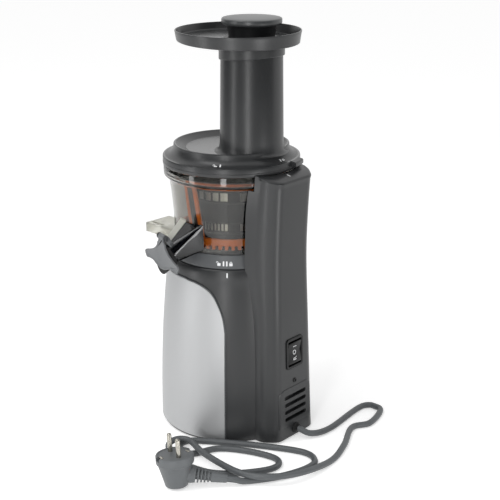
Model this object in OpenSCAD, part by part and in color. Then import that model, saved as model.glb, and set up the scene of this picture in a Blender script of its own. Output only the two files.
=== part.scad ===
// Cold press juicer, vertical, with a screw press in a clear bowl.
// Millimetres. The origin is on the screw's axis at table height, +Y is the back, +Z is up.
// Bearings on plan are turned from -Y towards +X.

/* [Housing] */
// Radius of the motor housing at its foot
foot_r = 78.5; // [76.5:0.5:80]
// How much the housing draws in from foot to shoulder
housing_draw = 8.8; // [7.6:0.1:9.6]
// Height at which the shoulder starts to round over
shoulder_z = 175; // [172:0.5:177]
// Height of the deck that the bowl stands on
deck_z = 190; // [189:0.5:192]
// Wall of the housing and the column
housing_wall = 2.6; // [2.2:0.1:3]
// Gap between the table and the housing
foot_gap = 1.5; // [1:0.1:2]
// Thickness of the silver front panel
panel_t = 1; // [0.8:0.1:1.2]

/* [Column] */
// Half width of the column at the top
column_half_w = 35.5; // [34.5:0.5:37]
// How far the column's back stands out behind the housing's foot
column_reach = 9.5; // [8.5:0.5:11.5]
// Height of the column's front edge
column_top_z = 291; // [290:0.5:291]
// Fall of the column's top towards the back
column_fall = 5.5; // [4:0.5:7]
// Gap between the column and the lid
lid_gap = 1; // [0.8:0.1:1.4]

/* [Switch and grille] */
// Width of the switch bezel
bezel_w = 27; // [25:0.5:29]
// Height of the switch bezel
bezel_h = 34; // [32:0.5:36]
// Height of the switch above the table
switch_z = 96.5; // [90:0.5:104]
// Number of slots in the rear grille
grille_slots = 4; // [2:1:4]
// Distance from one grille slot to the next
grille_pitch = 8.2; // [7.6:0.1:8.6]
// Height of the mains cord's outlet above the table
cord_z = 10; // [10:0.5:11]

/* [Bowl] */
// Outer radius of the bowl above its floor
bowl_r = 60.5; // [60.5:0.1:61.5]
// Wall of the bowl
bowl_wall = 2.3; // [2:0.1:2.3]
// How far the bowl's top band stands out from the bowl's foot
band_out = 10.5; // [10:0.1:10.7]
// Height of the bowl's rim
bowl_top_z = 287.7; // [287.2:0.1:288]
// Angle between the bowl's locked and free places
bowl_turn = 3.2; // [2.6:0.1:4]
// Width of the pulp chute
chute_w = 34; // [31:0.5:35]
// Reach of the pulp chute from the bowl's foot
chute_out = 28.5; // [25.5:0.5:31.5]
// Bearing of the juice spout
spout_az = 76.5; // [75:0.5:78]
// Slope of the juice spout
spout_tilt = 28.5; // [27:0.5:30]
// Bore of the juice spout
spout_bore = 19.4; // [18:0.2:20]

/* [Screw and strainer] */
// Room between the strainer and the outside of the bowl's foot
strainer_gap = 15.5; // [15.1:0.1:15.9]
// Wall of the strainer's frame
strainer_wall = 1.6; // [1.4:0.1:1.8]
// Number of starts of the press screw
flight_starts = 2; // [1:1:2]
// Turns that each flight makes
flight_turns = 1.6; // [1.2:0.1:2]
// Across corners radius of the hexagonal drive
hex_r = 7; // [6.6:0.1:7.2]
// Number of rib pairs of the turning brush
brush_pairs = 3; // [2:1:4]

/* [Lid and tray] */
// How far the lid's rim stands out from the bowl's band
lid_out = 0.5; // [0.3:0.1:0.6]
// Height of the lid's raised lip
lip_z = 309; // [308:0.5:310]
// Offset of the feed tube from the screw's axis
feed_y = 28; // [27.5:0.5:28.5]
// Bore of the feed tube
feed_bore = 55; // [54.6:0.1:55.4]
// Outer radius of the feed tube at its top
feed_top_r = 31.2; // [31:0.1:31.4]
// Height of the feed tube's top
feed_top_z = 411.5; // [406:0.5:414]
// Radius of the tray's rim
tray_r = 64; // [62:0.5:66]
// Height of the tray's rim above the tube's top
tray_depth = 13.5; // [12.5:0.5:15]
// Radius of the pusher's cap
cap_r = 30.2; // [29.8:0.1:30.8]
// Height of the pusher's top above the tube's top
pusher_rise = 27.4; // [26.6:0.2:28]

/* [Cord and plug] */
// Diameter of the mains cord
cord_d = 6.6; // [6.2:0.1:6.6]
// Diameter of the plug
plug_d = 37.8; // [36.8:0.2:38.6]
// Height of the plug's body
plug_h = 33; // [32:0.5:34]

/* [Hidden] */
$fn = 96;

// Common clearances and overruns
cut = 1;
fit = 0.05;
clear = 0.3;
coarse_fn = 32;

// Housing: the drum's radius falls off with a power of the height
draw_power = 2.2;
band_r = bowl_r + band_out;
band_room = 17;
column_back = max(foot_r + column_reach, band_r + band_room);
lid_r = band_r + lid_out;
strainer_r = bowl_r - strainer_gap;
chute_reach = bowl_r + chute_out;
deck_edge_r = foot_r * 0.83;
skin_gap = 0.1;
drum_steps = 12;
round_steps = 8;
deck_hole_r = 26;
deck_rim_h = 4.6;
deck_rim_t = 2;
function drum_r(z) = foot_r - housing_draw * pow(max(0, z) / shoulder_z, draw_power);
function shell_r(z) = drum_r(z) - panel_t - skin_gap;

// Front panel: its upper edge falls in an S from the shoulder to a straight side
panel_low_gap = 2.4;
panel_low_z = foot_gap + panel_low_gap;
panel_over = 1;
panel_top_z = shoulder_z + panel_over;
panel_az = 125.8;
panel_edge_shares = [[0, 1], [0.68, 1], [0.72, 0.996], [0.8, 0.986], [0.87, 0.962], [0.923, 0.92], [0.963,
    0.85],
    [0.988, 0.78], [1, 0.7]];
facet_az = 3.75;
panel_steps = ceil(panel_az / facet_az) - 1;
panel_rows = 6;
trim_w = 1.5;
trim_proud = 0.5;
panel_azimuths = concat([-panel_az], [for (i = [-panel_steps:panel_steps]) i * facet_az], [panel_az]);
function panel_edge_z(az) = panel_low_z + (panel_top_z - panel_low_z) * lookup(abs(az) / panel_az,
    panel_edge_shares);

// Bottom plate and feet
plate_rise = 1;
plate_z = foot_gap + plate_rise;
plate_t = 2.5;
plate_gap = 1;
plate_r = foot_r - housing_wall - panel_t - plate_gap;
foot_pad_r = 8;
foot_pad_h = 4;
foot_pad_sink = 1.2;
foot_pad_ring = foot_r * 0.76;
screw_r = 2;
screw_head_r = 3.6;
screw_head_h = 2;
screw_len = 10;
screw_ring = plate_r - screw_r * 1.6;
screw_count = 4;
boss_r = 5;
vent_slots = 8;
vent_w = 3;
vent_in_r = foot_r * 0.36;
vent_out_r = foot_r * 0.56;

// Column: sections from foot to top as shares of height, half width and depth
column_z_shares = [0, 0.08, 0.24, 0.45, 0.68, 0.86, 1];
column_w_shares = [1.1, 1.09, 1.06, 1.02, 0.985, 0.985, 1];
column_back_shares = [1.034, 1.02, 1.002, 0.98, 0.956, 0.972, 1];
column_flare = 11.5;
column_flare_shares = [0, 0, 0, 0, 1, 0.8, 0];
column_front = column_back * 0.35;
chamfer_w = column_half_w * 0.32;
chamfer_d = column_back * 0.15;
corner_steps = 4;
bay_step = 4.5;
bowl_bay_r = band_r - bay_step;
lid_bay_r = lid_r + lid_gap;
lid_bay_drop = 14;
lid_bay_z = bowl_top_z - lid_bay_drop;
column_rise = column_top_z - foot_gap;
function column_back_y(z) = column_back * lookup((z - foot_gap) / column_rise,
    [for (i = [0:len(column_z_shares) - 1]) [column_z_shares[i], column_back_shares[i]]]);
function column_w(z) = column_half_w * lookup((z - foot_gap) / column_rise,
    [for (i = [0:len(column_z_shares) - 1]) [column_z_shares[i], column_w_shares[i]]]);

// Switch: bezel, well and rocker
bezel_proud = 1.4;
bezel_t = 1.8;
well_wall = 1.4;
well_depth = 8.6;
rocker_side = 6.4;
rocker_w = bezel_w - rocker_side;
rocker_ends = 8;
rocker_h = bezel_h - rocker_ends;
rocker_dish = 1.6;
rocker_t = 4.2;
pivot_r = 1.6;
pivot_depth = 4.2;
pivot_len = 0.9;

// Rear grille
grille_low_z = 16;
grille_head = 1.6;
grille_top_z = grille_low_z + grille_pitch * (grille_slots + 1) + grille_head;
grille_half_w = column_half_w * 0.74;
grille_proud = 0.9;
slot_half_w = 17.3;
slot_h = 4.4;
grille_screw_rise = 6.2;
grille_screw_z = grille_top_z + grille_screw_rise;
grille_screw_r = 2.6;

// Cord outlet
grommet_flange_r = 5.7;
grommet_r = 4.8;
grommet_out = 5;
grommet_in = 4;
grommet_flange_t = 1.6;

// Motor and gearbox stack, from the table up
bearing_wall = 3;
bracket_drop = 3;
hub_gap = 2;
coil_inset = 3;
coil_out = 2;
case_flange = 8;
fan_z = 17;
fan_h = 10;
fan_r = 40;
fan_hub_r = 9;
fan_blades = 9;
fan_blade_t = 1.4;
fan_pitch = 30;
bearing_low_z = 8;
bearing_h = 7;
bearing_r = 11;
shaft_r = 4;
stator_z = 40;
stator_h = 42;
stator_r = 47;
stator_bore = 28;
air_gap = 0.5;
stator_slots = 12;
slot_depth = 12;
tooth_slot_w = 8;
coil_h = 9;
coil_gap = 0.3;
bracket_z = 95;
bracket_t = 4;
bracket_r = foot_r * 0.78;
bracket_legs = 4;
bracket_leg_r = 4.5;
case_z = bracket_z + bracket_t;
case_wall = 3;
case_r = 38;
gear_module = 1.25;
sun_teeth = 12;
planet_teeth = 18;
ring_teeth = sun_teeth + 2 * planet_teeth;
planet_count = 3;
pressure_angle = 20;
backlash = 0.08;
addendum = 0.85;
root_clear = 0.25;
planet_ring = gear_module * (sun_teeth + planet_teeth) / 2;
gear_rise = 12;
gear_z = case_z + gear_rise;
gear_w = 11;
planet_pin_r = 3;
carrier_t = 5;
carrier_rim = 3;
carrier_r = planet_ring + planet_pin_r + carrier_rim;
carrier_gap = 1.2;
carrier_z = gear_z + gear_w + carrier_gap;
out_r = 8;
out_bearing_drop = 9;
case_room = 16.8;
case_h = carrier_z + carrier_t - case_z + case_room;
out_bearing_z = case_z + case_h - out_bearing_drop;
out_bearing_r = 15;
out_bearing_h = 8;
seal_drop = 8;
seal_z = deck_z - seal_drop;
seal_h = 6;
seal_r = 14;
hex_rise = 4;
hex_z = deck_z + hex_rise;
hex_reach = 66;
hex_top_z = deck_z + hex_reach;
hub_wall = 3;
hub_r = seal_r + hub_wall;
board_w = 46;
board_h = 60;
board_t = 1.6;
board_z = 200;
relay_w = 15;
relay_h = 19;
relay_t = 8;
sensor_w = 9;
sensor_h = 12;
sensor_t = 5;

// Bowl: its floor hangs inside the turning ring
band_round = 2;
boss_wall = 2;
ring_foot_h = 2;
ring_round = 1;
ring_ledge = 2;
bowl_rise = 6;
bowl_low_z = deck_z + bowl_rise;
floor_t = 2.5;
bowl_floor_z = bowl_low_z + floor_t;
ring_gap = 0.4;
ring_low_z = deck_z + ring_gap;
ring_rise = 15;
ring_top_z = deck_z + ring_rise;
ring_out = 3.5;
ring_r = bowl_r + ring_out;
ring_top_out = 2;
ring_top_r = bowl_r + ring_top_out;
ring_lip = 1.3;
ring_in_r = bowl_r - ring_lip;
band_h = 12.2;
band_z = bowl_top_z - band_h;
bowl_z_shares = [0, 0.42, 0.66, 0.84, 0.975];
bowl_r_shares = [1, 1.012, 1.035, 1.06, 1.085];
shaft_gap = 0.6;
shaft_hole_r = out_r + shaft_gap;
boss_h = 5.4;
pin_r = 3;

// Press chain: screw gear, pinion and the brush's toothed ring
screw_teeth = 14;
pinion_teeth = 20;
brush_teeth = screw_teeth + 2 * pinion_teeth;
brush_gap = 0.7;
brush_r = bowl_r - bowl_wall - brush_gap;
brush_land = 3.5;
press_module = 2 * (brush_r - brush_land) / brush_teeth;
pinion_ring = press_module * (screw_teeth + pinion_teeth) / 2;
pinion_az = 220;
press_gear_rise = 15.2;
press_gear_z = deck_z + press_gear_rise;
press_gear_h = 7.4;
brush_rise = 19;
brush_low_z = deck_z + brush_rise;
brush_band_rise = 23.2;
brush_band_z = deck_z + brush_band_rise;
brush_band_h = 6.8;
brush_top_drop = 2.5;
brush_top_z = band_z - brush_top_drop;
brush_top_h = 6;
rib_w = 4.2;
rib_t = 2.6;
rib_lean = 11.5;
rib_step = 12.5;
brush_az = 92;
blade_t = 1.4;
blade_inset = 3;
rib_over = 3;
blade_gap = 0.35;

// Strainer
strainer_rise = 24.4;
strainer_z = deck_z + strainer_rise;
strainer_top_drop = 2.5;
strainer_top_z = brush_top_z - strainer_top_drop;
strainer_floor_t = 2;
mesh_t = 0.4;
neck_r = 16.4;
neck_gap = 0.6;
neck_hole_r = neck_r + neck_gap;
strainer_rim_h = 3;
strainer_rim_out = 2.4;
mesh_top_gap = 2;
window_count = 6;
window_span = 44;
window_az = 48.2;
window_low_rise = 10.6;
window_low_h = 8;
window_low_z = strainer_z + window_low_rise;
window_top_h = 10;
window_top_drop = 4;
window_top_z = strainer_top_z - window_top_drop - window_top_h;
pulp_hole_r = 9;
pulp_az = 42;
pulp_inset = 14;
pulp_ring = strainer_r - pulp_inset;

// Pulp chute and its channel under the strainer
slot_inset = 3;
slot_end = 2;
chute_x = 27;
chute_rise = 5.4;
chute_low_z = bowl_low_z + chute_rise;
chute_top_rise = 22;
chute_top_z = deck_z + chute_top_rise;
chute_wall = 1.4;
chute_roof = 1.8;
channel_gap = 0.5;
channel_top_z = brush_low_z - channel_gap;
channel_start = 15;
channel_out = 6;
channel_r = strainer_r + channel_out;
drop_len = 15;
slot_w = 4.6;
slot_len = 21;

// Screw
flight_gap = 1;
flight_r = strainer_r - strainer_wall - mesh_t - flight_gap;
flight_low_gap = 0.8;
flight_low_z = strainer_z + strainer_floor_t + flight_low_gap;
flight_top_z = 279;
flight_depth = 6;
core_low_r = flight_r - flight_depth;
core_top_r = 17;
core_top_z = 281;
journal_r = 5;
journal_step = 2;
journal_cone_h = 3;
journal_z = 300.6;
flight_root_t = 7;
flight_tip_t = 2.4;
flight_steps = 40;
hex_clear = 0.75;

// Spout and cap
spout_side = 18;
spout_sink = 3.5;
spout_inset = bowl_r - spout_sink;
spout_z = 222;
spout_len = 32;
spout_wall = 2.1;
spout_r = spout_bore / 2 + spout_wall;
flange_out = 0.9;
flange_r = spout_r + flange_out;
flange_t = 1.5;
junction_w = 29;
junction_low = 208;
junction_top = 235;
junction_r = 2.2;
hinge_out = 6.9;
hinge_up = 18.6;
hinge_pin_r = 1.3;
barrel_r = 3;
ear_w = 2.4;
ear_in = 5.6;
cap_t = 2.2;
cap_back = 0.7;
seal_t = 2.6;
cap_cup_out = 1;
cap_cup_r = flange_r + cap_cup_out;
cap_cup_wall = 1.4;
// Half of the cap's outline: to the side and down, as shares of its half width and drop
cap_half_w = 35;
cap_drop = 33.5;
cap_side_shares = [0.2, 0.24, 0.42, 0.7, 0.93, 1, 1, 0.9, 0.72, 0.5, 0.28, 0.1];
cap_down_shares = [0, 0.28, 0.44, 0.56, 0.63, 0.68, 0.76, 0.88, 0.86, 0.87, 0.95, 1];

// Lid
lid_z = bowl_top_z + clear;
lid_rim_h = 9;
lid_t = 2.4;
floor_drop = 5;
lip_w = 14;
lip_top_w = 2.4;
lip_round = 0.8;
rim_step = 0.6;
rim_soft = 1;
lid_inset = 4;
bush_wall = 2.4;
bush_drop = 2;
bush_roof = 3;
lug_root = 2;
lug_soft = 2;
lid_seal_step = 2;
lid_seal_h = 2.4;
lip_r = lid_r * 0.84;
flank_steps = 6;
skirt_gap = 0.6;
skirt_r = band_r - bowl_wall - skirt_gap;
skirt_t = 2;
skirt_h = 7;
feed_taper = 1.4;
feed_foot_r = feed_top_r + feed_taper;
feed_fillet = 2;
lug_az = 190;
lug_span = 15;
lug_out = 5.5;
lug_h = 6;
magnet_r = 2.2;
magnet_h = 3;
bush_r = 8;
bush_h = 11;

// Tray and pusher
tray_y = 10;
tray_flare = 1.6;
tray_foot_r = tray_r - tray_flare;
tray_wall = 1.8;
tray_floor_t = 2.2;
tray_slope = 1.6;
tray_lip = 0.2;
collar_wall = 1.9;
collar_h = 12;
collar_extra = 4;
collar_slant = 5;
pusher_clear = 0.3;
piston_r = feed_bore / 2 - pusher_clear;
piston_h = 8;
piston_soft = 1;
piston_neck = 3;
cap_soft = 1;
cap_dome = 0.8;
stem_inset = 4.6;
stem_r = feed_bore / 2 - stem_inset;
pusher_low_rise = 17;
pusher_low_z = lid_z + pusher_low_rise;
pusher_wall = 2.2;
stop_out = 1.6;
stop_r = feed_bore / 2 + stop_out;
stop_h = 2.4;
cone_z = 6.4;
cone_out = 2.4;
cone_top_r = stem_r + cone_out;
pusher_cap_h = 7.2;

// Plug, leaning as it stands on its foot
plug_x = 159;
plug_y = 69.5;
plug_lean = 7;
plug_lean_az = 341;
plug_lift = plug_d * 0.037;
plug_foot_r = plug_d * 0.3;
plug_rim_h = plug_h * 0.27;
relief_az = 221.3;
relief_z = 13;
relief_drop = 10.5;
relief_len = 51;
relief_r = 7.6;
relief_tip_wall = 0.8;
relief_core = 0.5;
relief_tip_r = cord_d / 2 + relief_tip_wall;
relief_neck = 15;
relief_ribs = 5;
rib_slot = 1.7;
pin_len = 19;
plug_pin_r = 2.4;
pin_pitch = 19;
pin_az = 341;
clip_w = 7;
clip_h = 3;
clip_inset = 4.6;
clip_in = plug_d / 2 - clip_inset;

// The cord's route over the table, from the housing to the plug
cord_sides = 10;
cord_rings = 80;
cord_route = [[0, 85, 10], [0, 95, 10], [-7.1, 107, 5.6], [-33.3, 112.4, 3.7], [-98.9, 106.8, 3.4],
    [-106.1, 126.5, 3.4], [-72, 137.3, 3.4], [-49.3, 129.1, 3.4], [-11.4, 146.9, 4],
    [24.2, 156.5, 3.6], [70, 154.4, 9], [99.2, 137.6, 10.6], [112.6, 108.3, 10.6],
    [107.2, 57.6, 10.4], [97.2, 27.1, 10.6], [104.9, 14.5, 10.6], [118.5, 17.1, 9],
    [129.1, 40.1, 5.6], [127.8, 53.9, 3.7], [122.4, 79.5, 3.4], [107.6, 99.3, 3.4],
    [81.3, 118.8, 3.4], [65, 121.2, 3.4], [57.2, 108.8, 3.4], [64.1, 80, 3.4], [80.4, 52.4, 3.4],
    [105.1, 40.6, 3.4], [109.4, 27.7, 3.4], [101.3, 17.1, 3.4], [88.7, 17.5, 3.4],
    [76.3, 33.1, 3.4], [50.7, 74.1, 3.4], [28.4, 122.2, 3.4], [33.6, 143.2, 3.4],
    [51, 147.3, 3.5], [81.1, 137.7, 3.4], [111.4, 119.7, 4.4], [120.6, 112.6, 7.1],
    [125.7, 106.6, 8.1], [128.9, 102.8, 8.7]];

// Rounded plan outline of the column: straight sides, slanted rear corners with soft ends
function soft_corner(a, b, c, reach) = [for (i = [0:corner_steps]) let (t = i / corner_steps,
    p = b + (a - b) / norm(a - b) * reach, q = b + (c - b) / norm(c - b) * reach)
    p * pow(1 - t, 2) + b * (2 * t * (1 - t)) + q * pow(t, 2)];
function column_plan(w, back, front, reach, flare) = let (
    a = [w + flare, front], b = [w, back - chamfer_d], c = [w - chamfer_w, back],
    d = [chamfer_w - w, back], e = [-w, back - chamfer_d], f = [-w - flare, front])
    concat([a], soft_corner(a, b, c, reach), soft_corner(b, c, d, reach), soft_corner(c, d, e, reach),
    soft_corner(d, e, f, reach), [f]);

// Triangles of a closed loft through equal rings of points
function loft_faces(rings, sides) = concat(
    [for (i = [0:rings - 2], j = [0:sides - 1]) let (k = (j + 1) % sides)
        [i * sides + j, (i + 1) * sides + j, (i + 1) * sides + k]],
    [for (i = [0:rings - 2], j = [0:sides - 1]) let (k = (j + 1) % sides)
        [i * sides + j, (i + 1) * sides + k, i * sides + k]],
    [[for (j = [0:sides - 1]) j]],
    [[for (j = [0:sides - 1]) rings * sides - 1 - j]]);
module loft(rings) polyhedron(points = [for (ring = rings) each ring], faces = loft_faces(len(rings),
    len(rings[0])));

// One smooth curve through the route's points
function clamp_at(list, i) = list[min(max(i, 0), len(list) - 1)];
function curve_point(list, u) = let (i = min(floor(u), len(list) - 2), t = u - i,
    a = clamp_at(list, i - 1), b = list[i], c = list[i + 1], d = clamp_at(list, i + 2))
    b + (c - a) * (t / 2) + (a * 2 - b * 5 + c * 4 - d) * (pow(t,
        2) / 2) + (b * 3 - a - c * 3 + d) * (pow(t, 3) / 2);
function cord_point(i) = curve_point(cord_route, i * (len(cord_route) - 1) / (cord_rings - 1));
function cord_heading(i) = let (d = cord_point(min(i + 1, cord_rings - 1)) - cord_point(max(i - 1, 0)))
    d / norm(d);
function cord_ring(i) = let (h = cord_heading(i), s = cross(h, [0, 0, 1]) / norm(cross(h, [0, 0, 1])),
    u = cross(s, h))
    [for (j = [0:cord_sides - 1]) let (a = j * 360 / cord_sides) cord_point(i) + (s * cos(a) + u * sin(a))
        * cord_d / 2];

// Involute gear outline: thin is taken off each flank
function roll(a) = tan(a) * 180 / PI - a;
function tooth_half(r, teeth, unit, thin) = let (pitch = unit * teeth / 2, base = pitch * cos(pressure_angle))
    90 / teeth - thin / pitch * 180 / PI + roll(pressure_angle) - (r > base ? roll(acos(base / r)) : 0);
function gear_outline(teeth, unit, root, tip, thin) = let (base = unit * teeth / 2 * cos(pressure_angle),
    low = max(root, base), radii = [root, low + (tip - low) * 0.15, low + (tip - low) * 0.55, tip])
    [for (i = [0:teeth - 1], side = [-1, 1], k = [0:3]) let (r = radii[side < 0 ? k : 3 - k],
        a = i * 360 / teeth + side * tooth_half(r, teeth, unit, thin)) [r * cos(a), r * sin(a)]];

module at_az(az) rotate([0, 0, az]) children();
module bowl_place() at_az(-bowl_turn) children();
module on_back(z) translate([0, column_back_y(z), z])
    rotate([atan((column_back_y(z + cut) - column_back_y(z - cut)) / -2 / cut), 0, 0]) children();
module tube(r_out, r_in, h) difference() {
    cylinder(r = r_out, h = h);
    translate([0, 0, -cut]) cylinder(r = r_in, h = h + 2 * cut);
}
module ring_of(count) for (i = [0:count - 1]) rotate([0, 0, i * 360 / count]) children();

module drum_solid(grow) rotate_extrude() polygon(concat(
    [[0, foot_gap]],
    [for (i = [0:drum_steps]) let (z = foot_gap + (shoulder_z - foot_gap) * i / drum_steps) [shell_r(z) + grow, z]],
    [for (i = [1:round_steps]) let (a = i * 90 / round_steps)
        [deck_edge_r + (shell_r(shoulder_z) - deck_edge_r) * cos(a) + grow,
            shoulder_z + (deck_z + grow - shoulder_z) * sin(a)]],
    [[0, deck_z + grow]]));

module motor_housing() color("dimgray") {
    difference() {
        drum_solid(0);
        translate([0, 0, -cut]) intersection() {
            drum_solid(-housing_wall);
            cylinder(r = foot_r, h = deck_z);
        }
        translate([0, 0, foot_gap - cut]) cylinder(r = plate_r + skin_gap, h = plate_t + 2 * cut);
        translate([0, 0, deck_z - housing_wall - cut]) cylinder(r = seal_r, h = housing_wall + 2 * cut);
    }
    translate([0, 0, deck_z]) tube(deck_hole_r, deck_hole_r - deck_rim_t, deck_rim_h);
    translate([0, 0, seal_z - deck_rim_t]) difference() {
        cylinder(r = hub_r, h = deck_z - seal_z);
        translate([0, 0, -cut]) cylinder(r = out_r + hub_gap, h = deck_z);
        translate([0, 0, deck_rim_t]) cylinder(r = seal_r, h = deck_z);
    }
    at_az(180 / screw_count) ring_of(screw_count) translate([0, -screw_ring, plate_z + plate_t])
        difference() {
        translate([0, 0, fit]) cylinder(r = boss_r, h = screw_len);
        translate([0, 0, -cut]) cylinder(r = screw_r, h = screw_len);
    }
}

module front_panel() {
    function row_point(az, k, inset) = let (
        z = panel_low_z + (panel_edge_z(az) - panel_low_z) * k / panel_rows)
        [(drum_r(z) - inset) * sin(az), -(drum_r(z) - inset) * cos(az), z];
    color("silver") loft([for (az = panel_azimuths) concat([for (k = [0:panel_rows]) row_point(az, k, 0)],
        [for (k = [0:panel_rows]) row_point(az, panel_rows - k, panel_t)])]);
}

// A strip round the panel's upper edge and its two sides
module panel_trim() {
    side = [for (i = [0:round_steps]) 0.96 * i / round_steps];
    edge = concat([for (s = side) [-panel_az, panel_low_z + (panel_edge_z(panel_az) - panel_low_z) * s]],
        [for (az = panel_azimuths) [az, panel_edge_z(az)]],
        [for (i = [0:round_steps]) [panel_az,
            panel_low_z + (panel_edge_z(panel_az) - panel_low_z) * side[round_steps - i]]]);
    function place(p, out, r) = [r * sin(p[0] + out[0]), -r * cos(p[0] + out[0]), p[1] + out[1]];
    function outward(i) = let (a = edge[max(i - 1, 0)], b = edge[min(i + 1, len(edge) - 1)],
        dx = (b[0] - a[0]) * PI / 180 * foot_r, dz = b[1] - a[1], n = norm([dx, dz]))
        [-dz / n / foot_r * 180 / PI, dx / n];
    color([0.16, 0.17, 0.18]) loft([for (i = [0:len(edge) - 1]) let (p = edge[i], o = outward(i),
        r = drum_r(p[1]),
        near = o * fit, far = o * (trim_w + fit))
        [place(p, near, r - panel_t + skin_gap), place(p, near, r + trim_proud), place(p, far,
            r + trim_proud),
            place(p, far, r - panel_t + skin_gap)]]);
}

module column_solid(inset, low, high) loft([for (i = [0:len(column_z_shares) - 1]) let (
    z = low + (high - low) * column_z_shares[i], reach = (column_half_w - inset) * 0.14,
    plan = column_plan(column_w(z) - inset, column_back_y(z) - inset, column_front, reach,
        column_flare * column_flare_shares[i]))
    [for (p = plan) [p[0], p[1], z]]]);

module column_top_cut(drop) {
    slope = atan(column_fall / (column_back - bowl_bay_r));
    translate([-foot_r, lid_bay_r * 0.83, column_top_z - drop]) rotate([-slope, 0, 0])
        translate([0, -foot_r, 0]) cube([2 * foot_r, 3 * foot_r, foot_r]);
}

module rear_column() color([0.3, 0.31, 0.32]) difference() {
    column_solid(0, foot_gap, column_top_z + cut);
    column_top_cut(0);
    difference() {
        column_solid(housing_wall, foot_gap + housing_wall, column_top_z + cut);
        column_top_cut(housing_wall);
        cylinder(r = bowl_bay_r + housing_wall, h = column_top_z);
        translate([0, 0, lid_bay_z - housing_wall]) cylinder(r = lid_bay_r + housing_wall, h = column_top_z);
    }
    drum_solid(skin_gap);
    cylinder(r = drum_r(0) * 0.8, h = 2 * deck_z - shoulder_z);
    translate([0, 0, deck_z]) cylinder(r = bowl_bay_r, h = column_top_z);
    translate([0, 0, lid_bay_z]) cylinder(r = lid_bay_r, h = column_top_z);
    difference() {
        translate([0, 0, shoulder_z]) cylinder(r = bowl_bay_r, h = deck_z);
        drum_solid(0);
    }
    on_back(switch_z) translate([-bezel_w / 2 + bezel_t, -housing_wall - cut, -bezel_h / 2 + bezel_t])
        cube([bezel_w - 2 * bezel_t, housing_wall + 3 * cut, bezel_h - 2 * bezel_t]);
    for (i = [1:grille_slots]) on_back(grille_low_z + i * grille_pitch) translate([-slot_half_w,
        -housing_wall - cut, -slot_h / 2])
        cube([2 * slot_half_w, housing_wall + 3 * cut, slot_h]);
    on_back(grille_screw_z) rotate([90, 0, 0]) translate([0, 0, -cut]) cylinder(r = screw_r,
        h = housing_wall + 3 * cut);
    on_back(cord_z) rotate([90, 0, 0]) translate([0, 0, -3 * cut]) cylinder(r = grommet_r,
        h = housing_wall + 5 * cut);
}

module bottom_plate() color("black") difference() {
    union() {
        translate([0, 0, plate_z]) cylinder(r = plate_r, h = plate_t);
        translate([0, 0, plate_z]) cylinder(r = bearing_r + bearing_wall,
            h = bearing_low_z + bearing_h - plate_z);
    }
    translate([0, 0, bearing_low_z]) cylinder(r = bearing_r, h = bearing_h + cut);
    ring_of(screw_count) translate([0, -foot_pad_ring, 0]) cylinder(r = foot_pad_r, h = foot_pad_h);
    at_az(180 / screw_count) ring_of(screw_count) translate([0, -screw_ring, 0]) cylinder(r = screw_r,
        h = deck_z);
    ring_of(vent_slots) translate([-vent_w / 2, -vent_out_r, 0]) cube([vent_w, vent_out_r - vent_in_r,
        deck_z]);
}

module rubber_feet() color("black") ring_of(screw_count) translate([0, -foot_pad_ring, 0])
    rotate_extrude() polygon([[0, 0], [foot_pad_r * 0.85, 0], [foot_pad_r, foot_pad_sink], [foot_pad_r,
        foot_pad_h], [0, foot_pad_h]]);

module housing_screws() color("silver") at_az(180 / screw_count) ring_of(screw_count)
    translate([0, -screw_ring, plate_z - screw_head_h]) {
        cylinder(r = screw_head_r, h = screw_head_h);
        cylinder(r = screw_r, h = screw_head_h + plate_t + screw_len - cut);
    }

module grille_outline(inset) let (w = grille_half_w - inset) polygon([[-w, column_back * 0.9], [-w,
    column_back_y(grille_low_z)
    - (w - column_half_w + chamfer_w) * chamfer_d / chamfer_w * 0.7], [chamfer_w - column_half_w,
        column_back_y(grille_low_z) + grille_proud],
    [column_half_w - chamfer_w, column_back_y(grille_low_z) + grille_proud],
    [w, column_back_y(grille_low_z) - (w - column_half_w + chamfer_w) * chamfer_d / chamfer_w * 0.7], [w,
        column_back * 0.9]]);

module rear_grille() color([0.26, 0.27, 0.28]) difference() {
    translate([0, 0, grille_low_z]) linear_extrude(grille_top_z - grille_low_z) grille_outline(0);
    column_solid(-skin_gap, foot_gap, column_top_z);
    for (i = [1:grille_slots]) on_back(grille_low_z + i * grille_pitch)
        hull() for (s = [-1, 1]) translate([s * (slot_half_w - slot_h / 2), 0, 0]) rotate([90, 0, 0])
            translate([0, 0, -3 * cut]) cylinder(r = slot_h / 2, h = 6 * cut, $fn = coarse_fn);
}

module grille_screw() color("black") on_back(grille_screw_z) rotate([-90, 0, 0]) {
    translate([0, 0, skin_gap]) cylinder(r = grille_screw_r, h = cut);
    translate([0, 0, -screw_len]) cylinder(r = screw_r, h = screw_len + cut);
}

module switch_bezel() color("black") on_back(switch_z) difference() {
    union() {
        translate([-bezel_w / 2, skin_gap, -bezel_h / 2]) cube([bezel_w, bezel_proud, bezel_h]);
        translate([-bezel_w / 2 + bezel_t + fit, -well_depth, -bezel_h / 2 + bezel_t + fit])
            cube([bezel_w - 2 * bezel_t - 2 * fit, well_depth + bezel_proud,
                bezel_h - 2 * bezel_t - 2 * fit]);
    }
    translate([-rocker_w / 2 - clear, well_wall - well_depth, -rocker_h / 2 - clear * 2])
        cube([rocker_w + 2 * clear, well_depth + 2 * cut + bezel_proud, rocker_h + 4 * clear]);
    translate([-bezel_w, -pivot_depth, 0]) rotate([0, 90, 0]) cylinder(r = pivot_r + fit, h = 2 * bezel_w);
}

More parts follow.
